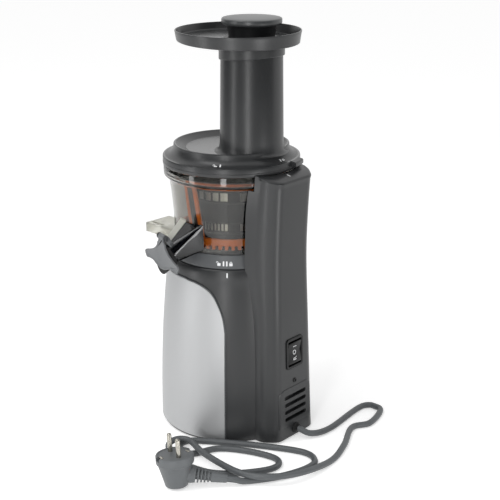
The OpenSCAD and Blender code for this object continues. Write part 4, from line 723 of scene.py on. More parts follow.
key_side = [(0.2, 0.36), (PIVOT_DEPTH + 1.6, 0.47), (PIVOT_DEPTH + 0.9, 0.28)]
profile = [(-2.6, 0)] + [(y, -s * ROCKER_H) for y, s in key_side]
profile += [(PIVOT_DEPTH + 0.1, 0)] + [(y, s * ROCKER_H) for y, s in reversed(key_side)]
profile = rounded(profile, 1.6)
rings = []
for x, scale in ((-ROCKER_W / 2, 0.94), (0.5 - ROCKER_W / 2, 1.0), (ROCKER_W / 2 - 0.5, 1.0), (ROCKER_W / 2, 0.94)):
    rings.append([(x, (y - 2) * scale + 2, z * scale) for y, z in profile])
rocker_place = back_frame(SWITCH_Z) @ shifted(0, -PIVOT_DEPTH, 0)
make_piece("rocker_key", moved(skin(rings), rocker_place), "rocker", black_abs, ["rocker_switch"])


def letter_mesh(text, size, thick):
    """A character as a solid in the X-Z plane, centred, facing +Y."""
    curve = bpy.data.curves.new("letter", "FONT")
    curve.body, curve.size, curve.extrude = text, size, thick / 2
    curve.align_x, curve.align_y = "CENTER", "CENTER"
    holder = bpy.data.objects.new("letter", curve)
    scene.collection.objects.link(holder)
    bm = bmesh.new()
    bm.from_mesh(holder.evaluated_get(bpy.context.evaluated_depsgraph_get()).to_mesh())
    bpy.data.objects.remove(holder)
    bmesh.ops.remove_doubles(bm, verts=bm.verts, dist=0.0001)
    return moved(bm, turned(180, "Z") @ turned(90, "X"))


marks = []
for text, z in (("I", 7.2), ("O", 0.2), ("R", -6.6)):
    dish = PIVOT_DEPTH + 0.42 + 0.8 * abs(z) / (ROCKER_H * 0.28)
    marks.append(moved(letter_mesh(text, 7.0, 0.3), rocker_place @ shifted(0, dish, z) @ turned(90, "Y")))
make_piece("rocker_marks", joined(*marks), "rocker", white_print)

# %% [markdown]
# The grille is a thin plate over the column's foot. It follows the slanted
# corners and stands less than a millimetre proud, so its seam reads as a
# fine line, and four rounded slots let the motor's cooling air out.

# %% Rear grille
GRILLE_LOW, GRILLE_PITCH, GRILLE_SLOTS = 16.0, 8.2, 4
GRILLE_TOP = GRILLE_LOW + GRILLE_PITCH * (GRILLE_SLOTS + 1) + 1.6
GRILLE_HALF, SLOT_W, SLOT_H = HALF_W * 0.74, 34.6, 4.3


def back_at(x, z, out):
    """The point on the column's back and slanted corners at x, pushed out by a distance."""
    line = [Vector(p) for p in column_outline(z, BAY_R, -out) if p[1] > 66]
    for p, q in zip(line, line[1:]):
        if min(p.x, q.x) <= x <= max(p.x, q.x) and abs(p.x - q.x) > 1e-6:
            return (x, p.y + (q.y - p.y) * (x - p.x) / (q.x - p.x), z)
    return (x, line[0].y, z)


columns, rows, corner = 36, 16, 7.0
rings = []
for j in range(rows + 1):
    z = GRILLE_LOW + (GRILLE_TOP - GRILLE_LOW) * j / rows
    over = max(0.0, z - (GRILLE_TOP - corner)) / corner
    half = GRILLE_HALF - corner * (1 - math.sqrt(max(0.0, 1 - over ** 2)))
    proud = 0.75 if 0 < j < rows else 0.45
    xs = [half * (1 - 2 * i / columns) for i in range(columns + 1)]
    outside = [back_at(x, z, proud if 0 < i < columns else 0.3) for i, x in enumerate(xs)]
    rings.append(outside + [back_at(x, z, -1.2) for x in reversed(xs)])
slots = []
for i in range(1, GRILLE_SLOTS + 1):
    slot = skin([rounded_rectangle(SLOT_W, SLOT_H, SLOT_H / 2, depth, 8) for depth in (-4, 4)])
    slots.append(moved(slot, back_frame(GRILLE_LOW + i * GRILLE_PITCH)))
plate = carve(skin(rings), *slots)
make_piece("rear_grille_plate", plate, "base", graphite_abs, ["rear_grille"], sharp=40)

# %% [markdown]
# The cord leaves through a small PVC grommet, and one recessed screw holds
# the grille's top. Both are turned shapes, spun in the frame of the back.

# %% Grommet and grille screw
OUTLET_Z, SCREW_Z = 10, GRILLE_TOP + 6.2
outward = turned(-90, "X")
sleeve = [(3.35, -4), (4.8, -4), (4.8, 0.1), (5.3, 0.1), (5.7, 0.5), (5.7, 1.1), (5.2, 1.6), (4.5, 1.9), (4.1, 3.4),
          (3.9, 4.8), (3.5, 5.0), (3.35, 4.8)]
grommet = moved(lathe(sleeve, steps=48), back_frame(OUTLET_Z) @ outward)
make_piece("cord_grommet_sleeve", grommet, "base", black_rubber, ["cord_grommet"])
head = [(0, 0.2), (1.1, 0.2), (1.3, 0.9), (2.2, 1.0), (2.6, 0.7), (2.6, 0.1), (2.0, 0.1), (2.0, -9), (0, -9)]
screw = moved(lathe(head, steps=32), back_frame(SCREW_Z) @ outward)
make_piece("grille_screw_head", screw, "base", black_abs, ["grille_screw"])

# %% [markdown]
# The plug is the round earthed kind with two pins, moulded in grey PVC. It
# stands on its foot, leaning a little, with its pins up. The strain relief
# is a tapered sleeve with five slots that let it bend.

# %% Plug
PLUG_D, PLUG_H, PLUG_TURN, PIN_X, CLIP_X, GRIP_BEARING = 37.8, 33.0, turned(341, "Z"), 9.5, 14.3, 137.3
RIM_Z = PLUG_H * 0.73
plug_frame = shifted(159, 69.5, PLUG_D * 0.037) @ PLUG_TURN @ turned(7, "X") @ PLUG_TURN.inverted()
relief_frame = plug_frame @ turned(221.3, "Z") @ shifted(0, 0, 13) @ turned(100.5, "X")
shape = [(0, 0.15), (9.6, 0), (10.8, 0.35), (11.4, 1.1), (14.2, RIM_Z * 0.5)]
shape += [(r, RIM_Z + up) for r, up in ((17.4, -0.8), (17.9, 0), (18.7, 0.4), (18.9, 1.2))]
shape += [(r, PLUG_H - down) for r, down in ((18.9, 1.0), (18.6, 0.3), (17.9, 0), (16.9, 0), (16.6, 0.6), (0, 0.6))]
grips, notches = [], []
for side in (0, 180):
    wedge = bmesh.new()
    bmesh.ops.create_cube(wedge, size=1)
    for v in wedge.verts:
        wide, deep = (18, 2.6) if v.co.z > 0 else (11, 0.4)
        v.co = Vector((v.co.x * wide, -14.6 + v.co.y * 4 - deep, 4 + (v.co.z + 0.5) * (RIM_Z - 6)))
    grips.append(moved(bevelled(wedge, 0.5), turned(GRIP_BEARING + side, "Z")))
    notches.append(moved(box_mesh(-3.6, 3.6, -20, -12.6, PLUG_H - 4, PLUG_H + 2), PLUG_TURN @ turned(side - 90, "Z")))
plug = moved(carve(lathe(shape, steps=96), *grips, *notches), plug_frame)
sleeve = [(0, 6), (7.9, 6), (8.2, 14), (7.9, 17.5)]
for i in range(5):
    z, wide = 19.6 + i * 3.4, 7.6 - i * 0.5
    sleeve += [(wide, z - 1.75), (wide, z - 0.15), (4.1, z), (4.1, z + 1.6), (wide - 0.3, z + 1.75)]
sleeve += [(5.0, 38.6), (4.2, 49.5), (3.7, 50.9), (3.35, 50.9), (0, 49)]
relief = moved(lathe(sleeve, steps=48), relief_frame)
plug_piece = make_piece("plug_moulding", joined(plug, relief), "base", plug_pvc, ["plug_body"], sharp=40)

pins, clips = [], []
for side in (-1, 1):
    pin = lathe([(0, 0), (2.4, 0), (2.4, 16.9), (2.2, 17.9), (1.6, 18.7), (0.8, 19), (0, 19)], steps=32)
    pins.append(moved(pin, plug_frame @ PLUG_TURN @ shifted(0, side * PIN_X, PLUG_H - 0.6)))
    clip = bevelled(box_mesh(-1.5, 1.3, -3.3, 3.3, 0.2, 2.6), 0.5, 3)
    clips.append(moved(clip, plug_frame @ PLUG_TURN @ shifted(side * CLIP_X, 0, PLUG_H - 3)))
pin_piece = make_piece("plug_contact_pins", joined(*pins), "base", nickel, ["plug_pins"])
clip_piece = make_piece("plug_side_clips", joined(*clips), "base", nickel, ["plug_earth_clips"])

# %% [markdown]
# The bowl is one clear moulding that widens to a band under the lid. Its
# wall is 2.3 mm thick, and both faces are modelled, because light has to
# enter and leave the plastic for it to look like a wall. It stands turned by
# 3.2 degrees from the axes, as the locked bowl does.

# %% Bowl
BOWL_R, BOWL_WALL, BOWL_LOW, BAND_Z, BOWL_TOP = 60.5, 2.3, 196.0, 275.5, 287.7
BOWL_TURN = turned(-3.2, "Z")
BOWL_SHARES = [(0, 1), (0.42, 1.012), (0.66, 1.035), (0.84, 1.06), (0.975, 1.085)]
SPOUT_TURN, SPOUT_ROOT, SPOUT_SLOPE, SPOUT_BORE_R = BOWL_TURN @ turned(76.5, "Z"), (18, -57, 222), 28.5, 9.7
spout_frame = SPOUT_TURN @ shifted(*SPOUT_ROOT) @ turned(90 + SPOUT_SLOPE, "X")


def bowl_r(z):
    """Outer radius of the bowl below its band."""
    return BOWL_R * smooth_lookup(BOWL_SHARES, max(0.0, (z - BOWL_LOW) / (BAND_Z - BOWL_LOW)))


def spout_bore(low, high, steps):
    """The round bore through the bowl's wall and the spout."""
    return moved(lathe([(0, low), (SPOUT_BORE_R, low), (SPOUT_BORE_R, high), (0, high)], steps=steps), spout_frame)


foot_r = bowl_r(BOWL_LOW)
WALL_LOW, WALL_TOP, FLOOR_Z, NECK_Z = BOWL_LOW + 4, 273.2, BOWL_LOW + 2.5, BOWL_LOW + 7.9
levels = [WALL_LOW + (WALL_TOP - WALL_LOW) * i / 20 for i in range(21)]
wall = [(foot_r - 3.2, BOWL_LOW), (foot_r - 1.2, BOWL_LOW + 0.7), (foot_r - 0.2, BOWL_LOW + 2.2)]
wall += [(bowl_r(z), z) for z in levels]
wall += [(66.6, 274.6), (68.4, 275.6), (70.0, 276.4), (70.8, 277.4), (71, 278.6), (71, 286.9), (70.7, 287.5),
         (70.2, BOWL_TOP), (69.3, BOWL_TOP), (68.8, 287.4), (68.7, 286.6), (68.7, 279.4), (68.2, 278.4), (66.6, 277.4),
         (64.4, 276.4)]
wall += [(bowl_r(z) - BOWL_WALL, z) for z in reversed(levels)]
wall += [(foot_r - BOWL_WALL - 2.6, FLOOR_Z), (10.7, FLOOR_Z), (10.7, NECK_Z), (8.7, NECK_Z), (8.7, BOWL_LOW)]
pulp_slot = moved(box_mesh(11.4, 42.6, -75, -40, 202.8, 207.1), BOWL_TURN)
bowl = carve(moved(lathe(wall, steps=160), BOWL_TURN), spout_bore(-10, 24, 48), pulp_slot)
make_piece("clear_bowl", bowl, "bowl", smoky_clear, ["juice_bowl"], sharp=30)

# %% [markdown]
# Under the bowl a grey skirt carries the lock marks. Its lower edge sits on
# the deck, and a thin groove parts it from the clear wall.

# %% Bowl skirt
skirt = rounded([(59.2, 190.4), (64.0, 190.4), (64.0, 192.6), (62.5, 204.2), (60.85, 205.0), (60.85, 196.0),
                 (58.6, 196.0)], 0.5, 3)
skirt = moved(carve(lathe(skirt, steps=160), box_mesh(9.9, 44.1, -80, -40, 201.3, 212)), BOWL_TURN)
make_piece("bowl_skirt", skirt, "bowl", graphite_light, ["bowl_ring"], sharp=30)

# %% [markdown]
# The pulp chute is a clear box open below, with a slot in its roof. It is a
# block that boxes and the bowl's own round are cut out of, so that it meets
# the wall all along. A black strip just under the slot is painted shade that
# makes the slot look dark inside.

# %% Pulp chute
def bowl_round(heights):
    """What the bowl fills, to cut off what stands against its wall."""
    return lathe([(0, heights[0])] + [(bowl_r(z) + 0.06, z) for z in heights] + [(0, heights[-1])], steps=160)


chute = carve(bevelled(box_mesh(10, 44, -89, -48, 201.4, 212), 0.8), box_mesh(11.4, 42.6, -87.6, -40, 202.8, 210.2),
              box_mesh(11.4, 42.6, -87.6, -74, 195, 204), bevelled(box_mesh(36.4, 40.6, -86, -66, 208, 214), 0.6),
              bowl_round((190, 197, 204, 212, 220)))
make_piece("pulp_chute_box", moved(chute, BOWL_TURN), "bowl", frosted_clear, ["pulp_chute"], sharp=30)
# A black rubber strip under the roof's slot: painted shade, so the slot looks dark inside.
slot_shade = bevelled(box_mesh(36.7, 40.3, -85.6, -66.4, 208.6, 209.8), 0.4)
make_piece("chute_slot_painted_shade", moved(slot_shade, BOWL_TURN), "bowl", black_rubber, sharp=30)

# %% [markdown]
# The juice spout slopes down from the bowl as a hollow clear box that ends
# in a round mouth, and two ears on it carry the cap's pin. Its body is the
# convex hull of the mouth and of two posts at the bowl, which gives the
# drawn-out flat sides of the moulding without any patching.

# %% Juice spout
SPOUT_LEN, SPOUT_R, SPOUT_WALL, WEB = 32.0, 11.8, 1.9, 3.4
POST_R, POST_H, POST_Z, HINGE_OUT, HINGE_UP = 2.2, 27, 221.5, 6.9, 18.6
EAR_X, EAR_T, EAR_R, LEDGE_R = 6.8, 2.4, 3, 11.9
fall = math.radians(SPOUT_SLOPE)
hinge_frame = SPOUT_TURN @ shifted(SPOUT_ROOT[0], SPOUT_ROOT[1] - SPOUT_LEN * math.cos(fall) - HINGE_OUT,
                                   SPOUT_ROOT[2] - SPOUT_LEN * math.sin(fall) + HINGE_UP)
hinge_axis = hinge_frame @ turned(90, "Y")


def add_cylinder(bm, radius, depth, segments, place):
    """A cylinder set in place in a bmesh."""
    made = bmesh.ops.create_cone(bm, cap_ends=True, segments=segments, radius1=radius, radius2=radius, depth=depth)
    bmesh.ops.transform(bm, matrix=place, verts=made["verts"])


def spout_hull(shrink, reach):
    """The spout's body, or its hollow when it is shrunk and held back from the mouth."""
    bm = bmesh.new()
    add_cylinder(bm, SPOUT_R - shrink, 1.5, 48, spout_frame @ shifted(0, 0, SPOUT_LEN - 0.75 + reach))
    for x, y in ((shrink, -BOWL_R * 0.97), (29 - shrink, -BOWL_R * 0.86)):
        add_cylinder(bm, POST_R, POST_H - 2 * shrink, 24, SPOUT_TURN @ shifted(x, y + shrink, POST_Z))
    hull = bmesh.ops.convex_hull(bm, input=bm.verts, use_existing_faces=False)
    loose = list(set(g for g in hull["geom_interior"] + hull["geom_unused"] if isinstance(g, bmesh.types.BMVert)))
    bmesh.ops.delete(bm, geom=loose, context="VERTS")
    return bm


spout = carve(spout_hull(0, 0), spout_hull(SPOUT_WALL, -WEB), spout_bore(-6, 40, 64),
              moved(bowl_round(range(190, 251, 10)), BOWL_TURN))
lip = [(SPOUT_BORE_R, 30.4), (12.3, 30.4), (12.7, 30.8), (12.7, 31.7), (12.4, 32), (SPOUT_BORE_R, 32)]
flange = moved(lathe(lip, steps=64), spout_frame)
make_piece("juice_spout_box", joined(spout, flange), "bowl", smoky_dark, ["juice_spout"], sharp=30)
# A thin strip stands on the spout's two top edges for the top wall's edge. Its pale hazy colour is a painted highlight
# along them.
at_bowl = [SPOUT_TURN @ Vector(p) for p in ((-1.6, -60.2, 235.1), (8.6, -58.6, 235.1))]
at_mouth = [spout_frame @ Vector((LEDGE_R * math.cos(a), LEDGE_R * math.sin(a), SPOUT_LEN - 0.4))
            for a in map(math.radians, (112, 66))]
low, high = Vector((0, 0, -0.3)), Vector((0, 0, 1.1))
rings = []
for i in range(9):
    left, right = (a.lerp(b, i / 8) for a, b in zip(at_bowl, at_mouth))
    rings.append([left + low, right + low, right + high * 0.7, right.lerp(left, 0.08) + high,
                  left.lerp(right, 0.08) + high, left + high * 0.7])
make_piece("spout_edge_highlight_strip", skin(rings), "bowl", edge_highlight_paint, sharp=40)
ears = []
for side in (-1, 1):
    ear = bmesh.new()
    add_cylinder(ear, EAR_R, EAR_T, 28, shifted(side * EAR_X, 0, 0) @ turned(90, "Y"))
    foot = bmesh.ops.create_cube(ear, size=1)["verts"]
    bmesh.ops.transform(ear, matrix=shifted(side * EAR_X, 7.5, -10.0) @ Matrix.Diagonal((EAR_T, 3, 3, 1)), verts=foot)
    bmesh.ops.convex_hull(ear, input=ear.verts, use_existing_faces=False)
    ears.append(moved(ear, hinge_frame))
make_piece("hinge_ears", joined(*ears), "bowl", graphite_light, sharp=40)
pin = lathe([(0, -8.3), (1.0, -8.3), (1.3, -8.0), (1.3, 8.0), (1.0, 8.3), (0, 8.3)], steps=24)
make_piece("hinge_pin", moved(pin, hinge_axis), "bowl", dark_steel, ["cap_pin"])

# %% [markdown]
# The juice cap hangs from its pin in front of the spout's mouth. Its flat
# grip is cut like a pair of fins with a rounded lip round the edge, and a
# cup behind it holds the black seal.

# %% Juice cap
CAP_HALF_W, CAP_DROP = 35, 33.5
SIDE_SHARES = [0.24, 0.42, 0.7, 0.93, 1, 1, 0.9, 0.72, 0.5, 0.28, 0.1]
DOWN_SHARES = [0.28, 0.44, 0.56, 0.63, 0.68, 0.76, 0.88, 0.86, 0.87, 0.95, 1]
fin = curve_through([(CAP_HALF_W * s, -CAP_DROP * d, 0) for s, d in zip(SIDE_SHARES, DOWN_SHARES)], 5)
right = [(5.1, 0.0), (5.1, -4.0), (7.4, -5.8)] + [(p.x, p.y) for p in fin]
outline = rounded(right + [(-x, z) for x, z in reversed(right)], 0.8, 2)
area = sum(p[0] * q[1] - q[0] * p[1] for p, q in zip(outline[-1:] + outline[:-1], outline))
inward = 1 if area > 0 else -1


def offset_ring(points, inset, y):
    """The outline drawn in by a distance along its own normals, at a depth y."""
    result = []
    for i, p in enumerate(points):
        a, b = Vector(points[i - 1]), Vector(points[(i + 1) % len(points)])
        along = (b - a).normalized() if (b - a).length > 1e-6 else Vector((1, 0))
        result.append((p[0] - along.y * inset * inward, y, p[1] + along.x * inset * inward))
    return result


depths = [(0.45, -0.7), (0.0, -1.15), (0.0, -2.5), (0.35, -2.85), (0.9, -2.9), (1.5, -2.55), (2.2, -2.4)]
plate = moved(skin([offset_ring(outline, inset, y) for inset, y in depths]), hinge_frame)
barrel = lathe([(1.35, -5.3), (2.8, -5.3), (3.0, -5.1), (3.0, 5.1), (2.8, 5.3), (1.35, 5.3)], steps=32)
make_piece("juice_cap_fins", joined(plate, moved(barrel, hinge_axis)), "cap", cap_abs, ["juice_cap"], sharp=40)
cup, seat = (moved(lathe([(0, low), (r, low), (r, high), (0, high)], steps=64), spout_frame)
             for r, low, high in ((13.7, 32.3, 52), (12.3, 30, 34.9)))
cup = carve(cup, moved(box_mesh(-32, 32, -66, -1.7, -64, 40), hinge_frame), seat)
make_piece("juice_cap_cup", cup, "cap", black_rubber, sharp=40)
seal = lathe([(0, 32.5), (10.6, 32.5), (11.0, 32.3), (12.0, 32.3), (12.25, 32.6), (12.25, 34.85), (0, 34.85)], steps=64)
make_piece("juice_cap_seal", moved(seal, spout_frame), "cap", black_rubber, ["cap_seal"])

# %% [markdown]
# The level faces of the lid and the tray mirror the bright room at a flat
# angle. They get a second material slot, a smoother copy of the graphite that
# is also shinier and a little lighter: painted sheen on the faces that look up.

# %% Painted sheen on level faces
def add_painted_sheen(piece):
    """Give the faces that look straight up the lighter, shinier copy: painted sheen."""
    piece.data.materials.append(graphite_painted_sheen)
    for face in piece.data.polygons:
        if face.normal.z > 0.985:
            face.material_index = 1

# %% [markdown]
# The lid is spun from its outline: a sunken floor, a rounded lip, a hollow
# flank and a rim over the bowl's band. A lug on one side reaches into the
# column, where its magnet tells the control board that the lid is locked.

# %% Lid
LID_R, LIP_R, FEED_Y = 71.5, 71.5 * 0.84, 28.0
lip = [(14.4, 304), (13, 304.2), (11, 304.9), (6, 307.0), (3.8, 308.0), (3, 308.5), (2.2, 308.9), (1.5, 309.0),
       (0.8, 308.9), (0.1, 308.4)]
outline = [(7.2, 304)] + [(LIP_R - inset, z) for inset, z in lip]
for a in [math.radians(5 * i) for i in range(18)]:
    outline.append((LIP_R + (LID_R - 0.6 - LIP_R) * (1 - math.cos(a)), 297 + 11 * (1 - math.sin(a))))
outline += [(70.98, 296.9), (71.35, 296.3), (71.5, 295.6), (71.5, 292.1), (71.2, 291.8), (71.2, 291.5), (71.55, 291.2),
            (71.6, 288.8), (71.3, 288.2), (70.7, 288), (68.1, 288), (68.1, 281), (66.1, 281), (66.1, 294.4),
            (56, 301.6), (7.2, 301.6)]
bush_seat = lathe([(8.05, 286), (10.4, 286), (10.4, 303), (8.05, 303)], steps=64)
lug = [(-2, 291.3), (5.1, 291.3), (5.5, 291.8), (5.5, 295), (4.4, 296.2), (0, 297.2), (-2, 297.2)]
lug = moved(lathe([(LID_R + r, z) for r, z in lug], steps=12, sweep=15), turned(100, "Z"))
bmesh.ops.holes_fill(lug, edges=[e for e in lug.edges if e.is_boundary], sides=0)
lid = joined(lathe(outline, steps=160), bush_seat, lug)
# The lid's level faces get the painted sheen.
add_painted_sheen(make_piece("lid_shell", lid, "lid", graphite_abs, ["lid"], sharp=32))

# %% [markdown]
# The feed tube stands on the lid, behind its middle. It narrows a little
# upwards and flows into the lid in a small fillet.

# %% Feed tube
FEED_TOP = 411.5
tube = [(27.5, 304.05), (38.2, 304.05), (36.4, 304.4), (34.9, 305.4), (33.9, 307.0), (33.2, 309.4), (32.8, 312.4),
        (32.5, 316), (31.2, 410.7), (30.9, 411.3), (30.4, 411.5), (28.2, 411.5), (27.7, 411.3), (27.5, 410.8)]
make_piece("feed_tube_shell", lathe(tube, FEED_Y), "lid", graphite_abs, ["feed_tube"], sharp=30)

# %% [markdown]
# The tray is a round dish whose floor slopes to the tube, so that fruit
# rolls to the opening. Its wall is a cone, its floor joins an outer circle
# to the hole's circle, and its collar grips the tube with a slanted edge.
# All of that is one skin of rings.

# %% Tray
TRAY_R, TRAY_Y, HOLE_R, SKIRT_R = 64.0, 10.0, 28.3, 33.9


def level(y):
    """For rings that lie level: their height is counted from the table."""
    return 0.0


def tray_floor(y):
    """Underside of the floor, which slopes along Y."""
    return FEED_TOP + 0.05 - (y - TRAY_Y - TRAY_R) * math.tan(math.radians(1.6))


def collar_edge(y):
    """Lower edge of the collar, which slants the other way."""
    return 399.5 + (y - FEED_Y) * math.tan(math.radians(5))


def tray_ring(share, radius, base, above):
    """A ring of points above a base, whose middle goes from the dish's (0) to the tube's (1)."""
    middle = TRAY_Y + (FEED_Y - TRAY_Y) * share
    angles = [2 * math.pi * i / 96 for i in range(96)]
    ground = [(radius * math.cos(a), middle + radius * math.sin(a)) for a in angles]
    return [(x, y, base(y) + above) for x, y in ground]


DISH_ROWS = [(60.9, tray_floor, 0.05), (62.0, tray_floor, 0.6), (62.5, level, 416.6), (63.4, level, 422),
             (63.85, level, 424.2), (63.8, level, 424.7), (63.5, level, 425), (62.9, level, 425), (62.5, level, 424.7),
             (62.3, level, 424.2), (61.0, level, 418.4), (60.4, tray_floor, 2.9), (59.2, tray_floor, 2.25),
             (57.8, tray_floor, 2.2)]
COLLAR_ROWS = [(27.8, tray_floor, 2.0), (27.5, tray_floor, 1.6), (27.5, level, 411.55), (31.5, level, 411.55),
               (31.5, collar_edge, 0.4), (31.8, collar_edge, 0), (32.8, collar_edge, 0), (33.1, collar_edge, 0.4),
               (33.1, tray_floor, -0.6), (SKIRT_R, tray_floor, 0.05)]
rings = [tray_ring(0, *row) for row in DISH_ROWS]
rings += [tray_ring(s, 57.8 + (HOLE_R - 57.8) * s, tray_floor, 2.2) for s in (0.25, 0.5, 0.75, 0.96)]
rings += [tray_ring(1, *row) for row in COLLAR_ROWS]
rings += [tray_ring(1 - s, SKIRT_R + (60.9 - SKIRT_R) * s, tray_floor, 0.05) for s in (0.33, 0.66)]
tray = skin(rings + [rings[0]], caps=False)
# The tray's level faces get the painted sheen.
add_painted_sheen(make_piece("tray_dish", tray, "tray", graphite_abs, ["hopper_tray"], sharp=30))

# %% [markdown]
# The pusher has a hollow black body that fills the tube, a stop flange that
# rests on the tray, and a grey satin cap. The cap's face is slightly domed
# and left plain.

# %% Pusher
PISTON_R, STEM_R, PUSHER_LOW, STOP_Z, PUSHER_TOP = 27.2, 22.9, 305.0, FEED_TOP + 4.4, FEED_TOP + 27.4
foot = [(0, 0), (PISTON_R - 1, 0), (PISTON_R, 1), (PISTON_R, 8), (STEM_R, 11)]
stop = [(STEM_R, 0), (29.1, 0), (29.1, 2.1), (28.8, 2.4), (STEM_R + 0.6, 2.7), (STEM_R + 0.2, 4.4)]
stem = [(r, PUSHER_LOW + h) for r, h in foot] + [(r, STOP_Z + h) for r, h in stop]
stem += [(25.0, PUSHER_TOP - 8.25), (25.3, PUSHER_TOP - 7.25), (20.7, PUSHER_TOP - 7.25), (20.7, PUSHER_LOW + 2.2),
         (0, PUSHER_LOW + 2.2)]
make_piece("pusher_stem", lathe(stem, FEED_Y), "pusher", pusher_abs, ["pusher_body"], sharp=30)
disc = [(0, 7.2), (28.0, 7.2), (28.8, 6.9), (29.9, 5.9), (30.2, 5.2), (30.2, 2.3), (30.0, 1.6), (29.5, 1.1),
        (28.7, 0.8), (20, 0.25), (10, 0.06), (0, 0)]
disc = lathe([(r, PUSHER_TOP - drop) for r, drop in disc], FEED_Y)
make_piece("pusher_cap_disc", disc, "pusher", pusher_top_abs, ["pusher_cap"], sharp=32)

# %% [markdown]
# Inside the bowl the orange brush turns round the strainer and wipes the
# wall with dark silicone blades. Its foot has square gear teeth, its ribs
# lean and flare into the foot, and a thin hoop ties their tops.

# %% Orange brush
BRUSH_R, RIB_R, RIB_LEAN, RIB_MIDDLE, BRUSH_AZ, TEETH = 57.5, 56, 11.5, 246.5, 92.0, 54
ring_gear_rim = [(52, 213.2), (BRUSH_R, 213.2), (BRUSH_R, 220), (53.5, 220), (52, 218.5)]
hoop = [(54.9, 273), (BRUSH_R, 273), (BRUSH_R, 274.6), (56.4, 275), (56.4, 277), (BRUSH_R, 277.4), (BRUSH_R, 279),
        (54.9, 279)]
parts = [lathe(rounded(ring_gear_rim, 0.5, 2)), lathe(rounded(hoop, 0.3, 2))]
for i in range(TEETH):
    tooth = box_mesh(-1.75, 1.75, -BRUSH_R + 0.02, -52.6, 209.2, 213.6)
    for v in tooth.verts:
        v.co.x *= 0.82 if v.co.z < 211 else 1.0
    parts.append(moved(tooth, turned(360 * (i + 0.5) / TEETH, "Z")))


def lean_bearing(bearing, z):
    """The bearing of a leaning rib at a height."""
    return bearing - math.degrees((z - RIB_MIDDLE) * math.tan(math.radians(RIB_LEAN)) / RIB_R)


RIB_LOW, RIB_TOP, RIB_OFFSET, FLARE_TALL = 219, 273.5, 6.25, 9
thin = math.degrees(2.1 / RIB_R)
for i in range(6):
    rings = []
    for z in [RIB_LOW + (RIB_TOP - RIB_LOW) * k / 30 for k in range(31)]:
        at = lean_bearing(BRUSH_AZ + i // 2 * 120 + (RIB_OFFSET if i % 2 else -RIB_OFFSET), z)
        flared = thin * (1 + 1.7 * max(0.0, 1 - (z - RIB_LOW) / FLARE_TALL) ** 2.2)
        left, right = (flared, thin) if i % 2 else (thin, flared)
        section = [(-left, 54.6), (-left, 56.9), (-left * 0.7, 57.3), (right * 0.7, 57.3), (right, 56.9), (right, 54.6)]
        rings.append([on_bearing(at + turn, r, z) for turn, r in section])
    parts.append(skin(rings))
make_piece("orange_brush", moved(joined(*parts), BOWL_TURN), "brush", orange_pp, ["brush_frame"])

BLADE_LOW, BLADE_TOP = 222.5, 270.5
blades = []
for i in range(3):
    for inner_r, outer_r, half_w in ((47.8, 55.2, 0.7), (55.2, 56.6, 3.75)):
        wide = math.degrees(half_w / RIB_R)
        section = [(-wide, inner_r), (-wide, outer_r), (wide, outer_r), (wide, inner_r)]
        heights = [BLADE_LOW + (BLADE_TOP - BLADE_LOW) * k / 20 for k in range(21)]
        blades.append(skin([[on_bearing(lean_bearing(BRUSH_AZ + i * 120, z) + turn, r, z) for turn, r in section]
                            for z in heights]))
make_piece("silicone_wipers", moved(joined(*blades), BOWL_TURN), "brush", grey_silicone, ["wiper_blades"])

# %% [markdown]
# The strainer is a black cage round an etched steel mesh. Rows of windows
# show the mesh near its head and its foot. The cage is spun in one piece,
# its windows are cut through the wall, and thin bars stand in them.

# %% Strainer cage and mesh
CAGE_R, CAGE_WALL, CAGE_LOW, CAGE_TOP = 45.0, 1.6, 214.4, 270.5
WINDOW_SPAN, WINDOW_AZ, WINDOW_COUNT = 44.0, 48.2, 6
# Lowest height, height and count of panes of each row, then half the bars' widths in degrees.
WINDOW_ROWS = [(225.0, 8.0, 9), (256.5, 10.0, 4)]
FINE_BAR, WIDE_BAR = 0.75, 0.9


def wall_patch(inner_r, outer_r, low_az, high_az, low_z, high_z, steps=10):
    """A piece of a round wall between two bearings and two heights."""
    corners = [(inner_r, low_z), (outer_r, low_z), (outer_r, high_z), (inner_r, high_z)]
    bearings = [low_az + (high_az - low_az) * i / steps for i in range(steps + 1)]
    return skin([[on_bearing(az, r, z) for r, z in corners] for az in bearings])


inner_r = CAGE_R - CAGE_WALL
wall = rounded([(inner_r, CAGE_LOW), (CAGE_R, CAGE_LOW), (CAGE_R, CAGE_TOP - 3.6), (CAGE_R + 2.3, CAGE_TOP - 2.9),
                (CAGE_R + 2.3, CAGE_TOP), (inner_r, CAGE_TOP)], 0.4, 2)
middles = [WINDOW_AZ + i * 360 / WINDOW_COUNT for i in range(WINDOW_COUNT)]
openings, bars = [], []
for middle in middles:
    low_az, high_az = middle - WINDOW_SPAN / 2, middle + WINDOW_SPAN / 2
    for low_z, tall, panes in WINDOW_ROWS:
        openings.append(wall_patch(inner_r - 1, CAGE_R + 1, low_az, high_az, low_z, low_z + tall))
        half = FINE_BAR if panes > 5 else WIDE_BAR
        for az in [low_az + WINDOW_SPAN * k / panes for k in range(1, panes)]:
            bar = wall_patch(CAGE_R - 1.5, CAGE_R - 0.2, az - half, az + half, low_z - 0.3, low_z + tall + 0.3, 2)
            bars.append(bar)
cage = carve(lathe(wall, steps=144), *openings)
disc = [(18, CAGE_LOW), (inner_r, CAGE_LOW), (inner_r, CAGE_LOW + 2), (18, CAGE_LOW + 2)]
cage = moved(joined(cage, lathe(disc, steps=96), *bars), BOWL_TURN)
make_piece("strainer_cage", cage, "bowl", strainer_abs, ["strainer_frame"], sharp=32)

# %% [markdown]
# Between its window rows the cage carries raised arches, and three grey
# beads run round it. They stand only a third of a millimetre proud.

